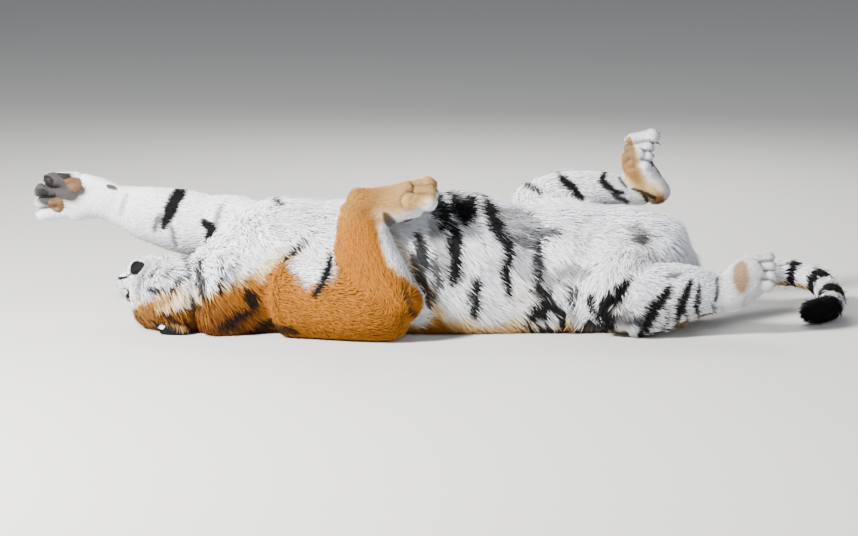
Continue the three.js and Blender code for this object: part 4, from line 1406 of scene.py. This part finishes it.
# the outer half of a lock takes the colour of the place it lies over, which keeps the stripes sharp
overPoints = rootPoints + unit(rootRead["lie"]) * (coatSet["carry"] * rootRead["hair"])[:, None]
fields = [rootPoints, rootNormals, *(rootRead[key] for key in ("lie", "depth", "hair", "droop")),
          furColour(rootPoints, rootRead), furColour(overPoints, rootRead)]
print("roots scattered:", int(keep.sum()))
for name, (parts, low, high) in coatPieces.items():
    share = rootRead["share"][:, limbNames.index(parts[0])]
    inPiece = np.isin(rootRead["part"], [limbNames.index(part) for part in parts]) & keep
    inPiece &= (share >= low) & ((share < high) | (high == 1))
    chart = coatChart(rootRead, parts, low, high)
    growLocks(name, *(field[inPiece] for field in (*fields, chart)))


# bare parts: eyes, eyelid rims, nose, pads, claws and whiskers
def closedSurface(name, rings, material, colours=None):
    # rings (ring, around, 3) joined to their neighbours, a cap at each end, and the faces turned outwards
    count, around = rings.shape[:2]
    points = rings.reshape(-1, 3)
    a, b, c, d = points[gridFaces(count, around).T]
    faces = closedFaces(count, around)
    if dot(np.cross(c - a, d - b), (a + b + c + d) / 4 - points.mean(0)).sum() < 0:
        faces = [face[::-1] for face in faces]
    piece = newPiece(name, points, faces, material)
    if colours is not None:
        paintPoints(piece, colours)
    return finishPiece(piece)


def tubeRings(path, radius, beside, above, around):
    # a ring of points round each point of a path
    turn = circle(around)[:, None]
    ring = np.cos(turn) * beside[..., None, :] + np.sin(turn) * above[..., None, :]
    return path[..., None, :] + np.asarray(radius)[..., None, None] * ring


def turnRings(angles, around):
    # a quarter or half circle of angles from a pole, with the angles round it
    return np.meshgrid(angles, circle(around), indexing="ij")


eyeSet = {
    "pupil": 0.36, "iris": 0.78, "bulge": 1.6,  # angles in radians from the middle, height of the cornea
    "rays": 23, "rings": 44, "around": 56,
    "irisColour": paint(0.78, 0.66, 0.30), "irisEdge": paint(0.36, 0.28, 0.10),
    "whiteColour": paint(0.80, 0.74, 0.66),
}
eyeMaterial = makeMaterial("eyeGloss", hairGrain, {"Scale": 900.0, "Strength": 0.25}, bump=0.02,
                           shader={"Specular IOR Level": 0.6, "Coat Weight": 1.0, "Coat Roughness": 0.03})
rimMaterial = makeMaterial("lidLeather", leatherGrain, {"Scale": 900.0}, paint(0.11, 0.09, 0.09), bump=0.4,
                           distance=0.0004)


def makeEye(side, name):
    # a ball, raised over the iris; rays in the iris by angle, a round pupil and a dark edge
    centre, axes = eyeFrame(side)
    down, turn = turnRings(np.linspace(0.01, np.pi - 0.01, eyeSet["rings"]), eyeSet["around"])
    radius = head["eyeRadius"] - 0.4 + eyeSet["bulge"] * ease(down, eyeSet["iris"], 0)
    flat = radius * np.sin(down)
    rings = centre + np.stack([flat * np.cos(turn), flat * np.sin(turn), radius * np.cos(down)], -1) @ axes
    down, turn = down.ravel(), turn.ravel()
    rays = 0.5 + 0.5 * np.sin(eyeSet["rays"] * turn + 3 * np.sin(5 * turn))
    colour = blend(eyeSet["irisColour"] * np.ones((len(down), 1)), eyeSet["irisEdge"], 0.35 * rays)
    colour = blend(colour, eyeSet["irisEdge"] * 0.5, ease(down, eyeSet["iris"] - 0.16, eyeSet["iris"]))
    colour = blend(colour, eyeSet["whiteColour"], ease(down, eyeSet["iris"], eyeSet["iris"] + 0.08))
    colour = blend(colour, furColours["black"] * 0.3, ease(down, eyeSet["pupil"] + 0.04, eyeSet["pupil"]))
    piece = closedSurface(name, rings, eyeMaterial, colour)
    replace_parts(piece, "eye_right" if side > 0 else "eye_left")


def makeRim(side, name):
    # the edge of the lids: a tube along the slit's oval, on the ball that the lids lie on
    centre, axes = eyeFrame(side)
    steps, around = 72, 10
    turn = circle(steps)
    length, height = face["slit"]
    path = np.stack([(length + 0.8) * np.cos(turn), (height + 0.8) * np.sin(turn)], -1)
    path = np.column_stack([path, np.sqrt(face["lidRadius"] ** 2 - (path**2).sum(1)) - 0.2])
    ahead = unit(np.roll(path, -1, 0) - np.roll(path, 1, 0))
    out = unit(path)
    points = centre + tubeRings(path, 1.7, np.cross(ahead, out), out, around) @ axes
    faces = gridFaces(steps + 1, around) % (steps * around)
    if side < 0:
        faces = faces[:, ::-1]
    finishPiece(newPiece(name, points.reshape(-1, 3), faces, rimMaterial))


noseSet = {
    "size": (27.0, 17.5, 12.5), "nostril": (13.0, -2.0), "holeDepth": 9, "wingDepth": 5, "grooveDepth": 2.4,
    "rings": 46, "around": 90, "colour": paint(0.70, 0.44, 0.38), "edge": paint(0.22, 0.14, 0.13),
}
noseMaterial = makeMaterial("noseLeather", leatherGrain, {"Scale": 520.0}, bump=0.5,
                            shader={"Coat Weight": 0.25, "Coat Roughness": 0.25})


def makeNose():
    # a flattened ball, narrower towards the lip, with comma-shaped nostrils and a groove down the middle
    wide, tall, deep = noseSet["size"]
    down, turn = turnRings(np.linspace(0.02, np.pi - 0.02, noseSet["rings"]), noseSet["around"])
    x, y, z = np.sin(down) * np.cos(turn), np.sin(down) * np.sin(turn), np.cos(down)
    across = wide * x * (0.80 + 0.20 * np.clip(y * 1.6, -1, 1))
    up, out = tall * y, deep * z
    beside, above = np.abs(across) - noseSet["nostril"][0], up - noseSet["nostril"][1]
    hole = bell(beside, 4.2) * bell(above, 3.4)
    wing = bell(beside - 6, 5.0) * bell(above + 1.5 + 0.2 * beside, 1.8)
    groove = bell(across, 1.6) * ease(up, 10, 2)
    dents = noseSet["holeDepth"] * hole + noseSet["wingDepth"] * wing + noseSet["grooveDepth"] * groove
    out = out - ease(z, 0, 0.4) * dents
    rings = headPoint(head["nose"][0] - out, across, head["nose"][2] + up)
    # painted shade: darker in the nostrils, the wing creases and the groove; the dark rim round the edge is
    # the leather's own colour
    dark = np.clip(hole + wing * 0.9 + groove * 0.5 + ease(np.hypot(x, y), 0.80, 0.98), 0, 1).ravel()
    colour = blend(noseSet["colour"] * np.ones((len(dark), 1)), noseSet["edge"], dark * 0.9)
    colour = blend(colour, noseSet["edge"], 0.35 * ease(softNoise(rings.reshape(-1, 3), 5, 2.2), 0.25, 0.7))
    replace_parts(closedSurface("nose_leather", rings, noseMaterial, colour), "nose")


padColours = {
    "tan": paint(0.34, 0.245, 0.14), "black": paint(0.085, 0.07, 0.07), "grey": paint(0.30, 0.25, 0.24),
}
padMaterials = {
    name: makeMaterial("pad_" + name, leatherGrain, {"Scale": 330.0}, colour, bump=0.6, distance=0.0009,
                       shader={"Specular IOR Level": 0.25})
    for name, colour in padColours.items()
}


def skinHeights(flat, middle, ahead, sideways, facing):
    # how far the skin stands along the way a pad faces, at places on its plane: a mean of near skin points
    away = skinPoints - middle
    near = (np.linalg.norm(away, axis=1) < 75) & (skinNormals @ facing > 0.15) & (np.abs(away @ facing) < 45)
    places = np.stack([away[near] @ ahead, away[near] @ sideways], -1)
    far = np.linalg.norm(flat[..., None, :] - places, axis=-1)
    weight = bell(far - far.min(-1, keepdims=True), 5) * np.exp(-far / 5)
    return (weight * (away[near] @ facing)).sum(-1) / weight.sum(-1)


padSet = {
    "bigFrom": 23, "heights": {"big": 9.0, "small": 7.0}, "lobes": {"big": (0.07, 3), "small": (0.03, 2)},
    "fullness": 2.6, "sunk": 3.0, "under": 8.0, "lowest": 0.6, "heelCrease": 2.0, "rings": 12, "around": 40,
}


def makePad(name, pad):
    # a dome over the skin, its outline an oval with soft lobes, closed by the same oval under the skin
    middle, ahead, sideways, facing = padFrame(pad)
    length, width, kind = pad[3:]
    size = "big" if length > padSet["bigFrom"] else "small"
    share, turn = turnRings(np.linspace(0.03, 1, padSet["rings"]), padSet["around"])
    swell, count = padSet["lobes"][size]
    out = share * (1 + swell * np.cos(count * turn))
    flat = np.stack([out * length * np.cos(turn), out * width * np.sin(turn)], -1)
    skinHeight = skinHeights(flat, middle, ahead, sideways, facing)
    curve = np.sqrt(np.clip(1 - share ** padSet["fullness"], 0, 1))
    dome = padSet["heights"][size] * curve - padSet["sunk"]
    if size == "big":  # creases between the three lobes at the heel side
        crease = bell(np.abs(flat[..., 1]) - width * 0.42, 3) * ease(flat[..., 0], 0, -length)
        dome -= padSet["heelCrease"] * crease
    heights = np.concatenate([skinHeight + dome, skinHeight[::-1] - padSet["under"]])
    flat = np.concatenate([flat, flat[::-1] * 0.9])
    rings = middle + flat[..., :1] * ahead + flat[..., 1:] * sideways + heights[..., None] * facing
    rings[..., 2] = np.maximum(rings[..., 2], padSet["lowest"])
    closedSurface(name, rings, padMaterials[kind])


def makePads():
    padList = [(foot, pad) for foot, pads in paws["pads"].items() for pad in pads]
    for number, (foot, pad) in enumerate(padList):
        makePad(f"pad_{foot}_{number + 1}", pad)


clawSet = {
    "sunk": 9.0, "search": 8.0,  # how deep the root lies, and how near the toe's line the skin is sought
    "length": 20.0, "radius": 3.6, "flat": 0.6, "curl": 1.3, "rings": 9, "around": 8,
}
clawMaterial = makeMaterial("clawHorn", leatherGrain, {"Scale": 60.0}, paint(0.42, 0.36, 0.30), bump=0.1,
                            shader={"Specular IOR Level": 0.5, "Coat Weight": 0.3})
soles = {"forepaw_left": (0, -1, 0), "forepaw_right": (0.3, 0, -1), "hind_foot_left": (0.8, 0, -0.5),
         "hind_foot_right": (0.3, 1, 0)}


def makeClaw(name, toe, sole):
    # a hooked cone at a toe's tip, half drawn in: it leaves along the toe and curls towards the sole
    ahead = unit(toe[3:6] - toe[:3])
    down = squared(sole, ahead)
    side = np.cross(ahead, down)
    # the root lies inside the skin: as far along the toe as the skin reaches on that line, less sunk
    line = toe[3:6] - down * toe[6] * 0.42
    along = (skinPoints - line) @ ahead
    apart = np.linalg.norm(skinPoints - line - along[:, None] * ahead, axis=1)
    near = (apart < clawSet["search"]) & (np.abs(along) < 50)
    start = line + ahead * (along[near].max() - clawSet["sunk"])
    share = np.linspace(0, 1, clawSet["rings"])
    c, s = np.cos(share * clawSet["curl"])[:, None], np.sin(share * clawSet["curl"])[:, None]
    path = start + clawSet["length"] / clawSet["curl"] * (s * ahead + (1 - c) * down)
    above = np.cross(c * ahead + s * down, side)
    radius = clawSet["radius"] * (1 - share) ** 0.7 + 0.25
    rings = tubeRings(path, radius, clawSet["flat"] * side, above, clawSet["around"])
    closedSurface(name, rings, clawMaterial)


def makeClaws():
    for name, sole in soles.items():
        for number, toe in enumerate(limbs[name]["toes"]):
            makeClaw(f"claw_{name}_{number + 1}", toe, sole)


whiskerSet = {
    "rows": 4, "perRow": 5, "first": (30, 8), "apart": 8.0,  # back and up of the first, in head measures
    "length": (55, 105), "radius": 0.55, "sag": 0.18, "rings": 9, "around": 5,
}
whiskerMaterial = makeMaterial("whiskerHair", hairGrain, {"Strength": 0.1}, paint(0.93, 0.92, 0.90), bump=0.0)


def makeWhiskers(side, name):
    # rows of tapered bent hairs out of the whisker pad, joined into one piece
    count = whiskerSet["rows"] * whiskerSet["perRow"]
    row, place = np.divmod(np.arange(count), whiskerSet["perRow"])
    back = whiskerSet["first"][0] + whiskerSet["apart"] * place + 2 * row + random.normal(0, 1, count)
    up = whiskerSet["first"][1] + whiskerSet["apart"] * row + random.normal(0, 1, count)
    measures = headMeasures(skinPoints)
    onSide = measures[:, 1] * side > 20
    spots = measures[onSide]
    near = ((spots[:, [0, 2]][None] - np.stack([back, up], -1)[:, None]) ** 2).sum(-1).argmin(1)
    root = skinPoints[onSide][near] - skinNormals[onSide][near] * 2
    ahead = np.stack([0.15 + 0.16 * place, np.full(count, side * 1.0), -0.30 + 0.12 * row], -1)
    ahead = unit(ahead + random.normal(0, 0.12, (count, 3))) @ headAxes
    length = np.interp(place, [0, whiskerSet["perRow"] - 1], whiskerSet["length"])
    length *= random.uniform(0.8, 1.1, count)
    share = np.linspace(0, 1, whiskerSet["rings"])
    bend = unit(np.array([1.0, 0, -0.6])) @ headAxes
    path = root[:, None] + (length[:, None] * share)[..., None] * ahead[:, None]
    path = path + (whiskerSet["sag"] * length[:, None] * share**2)[..., None] * bend
    beside = unit(np.cross(ahead, upAxis))
    radius = whiskerSet["radius"] * (1 - share) ** 0.6 + 0.06
    rings = tubeRings(path, radius, beside[:, None], np.cross(ahead, beside)[:, None], whiskerSet["around"])
    size = whiskerSet["rings"] * whiskerSet["around"]
    one = closedFaces(whiskerSet["rings"], whiskerSet["around"])
    faces = [[corner + size * k for corner in corners] for k in range(count) for corners in one]
    finishPiece(newPiece(name, rings.reshape(-1, 3), faces, whiskerMaterial))


for side, word in ((1, "right"), (-1, "left")):
    makeEye(side, "eyeball_" + word)
    makeRim(side, "lid_rim_" + word)
    makeWhiskers(side, "whiskers_" + word)
makeNose()
makePads()
makeClaws()
print("eyes, nose, pads, claws and whiskers made")


# the studio: a pale floor, a pale sky and three soft lamps
studio = {"sky": (0.80, 0.86, 0.95), "skyStrength": 0.33, "floorColour": paint(0.77, 0.765, 0.75),
          "floorReach": 40.0, "floorRoughness": 0.8}
lamps = {  # place and aim in metres, size in metres, watts, colour
    "key": ((-3.5, -2.9, 3.3), (0.0, 0.0, 0.15), 0.9, 1500, (1.0, 0.985, 0.96)),
    "fill": ((3.2, -3.0, 2.2), (0.2, 0.0, 0.15), 3.0, 75, (0.90, 0.95, 1.0)),
    "rim": ((0.5, 3.4, 3.0), (0.0, 0.0, 0.2), 2.4, 190, (1.0, 0.98, 0.95)),
}


def makeStudio():
    floorMesh = bpy.data.meshes.new("studioFloor")
    reach = studio["floorReach"]
    square = [(-reach, -reach, 0), (reach, -reach, 0), (reach, reach, 0), (-reach, reach, 0)]
    floorMesh.from_pydata(square, [], [(0, 1, 2, 3)])
    material = bpy.data.materials.new("paleFloor")
    material.use_nodes = True
    surface = material.node_tree.nodes["Principled BSDF"]
    surface.inputs["Base Color"].default_value = (*studio["floorColour"], 1)
    surface.inputs["Roughness"].default_value = studio["floorRoughness"]
    floorMesh.materials.append(material)
    addObject("studioFloor", floorMesh)
    world = bpy.data.worlds.new("sky")
    world.use_nodes = True
    background = world.node_tree.nodes["Background"]
    background.inputs["Color"].default_value = (*studio["sky"], 1)
    background.inputs["Strength"].default_value = studio["skyStrength"]
    bpy.context.scene.world = world
    for name, (place, aim, size, watts, colour) in lamps.items():
        light = bpy.data.lights.new(name, "AREA")
        light.size, light.energy, light.color = size, watts, colour
        lamp = addObject(name, light)
        lamp.location = place
        x, y, z = np.array(aim) - place
        lamp.rotation_euler = (np.arctan2(np.hypot(x, y), -z), 0, np.arctan2(x, -y) + np.pi)


makeStudio()
print("tiger and studio made")
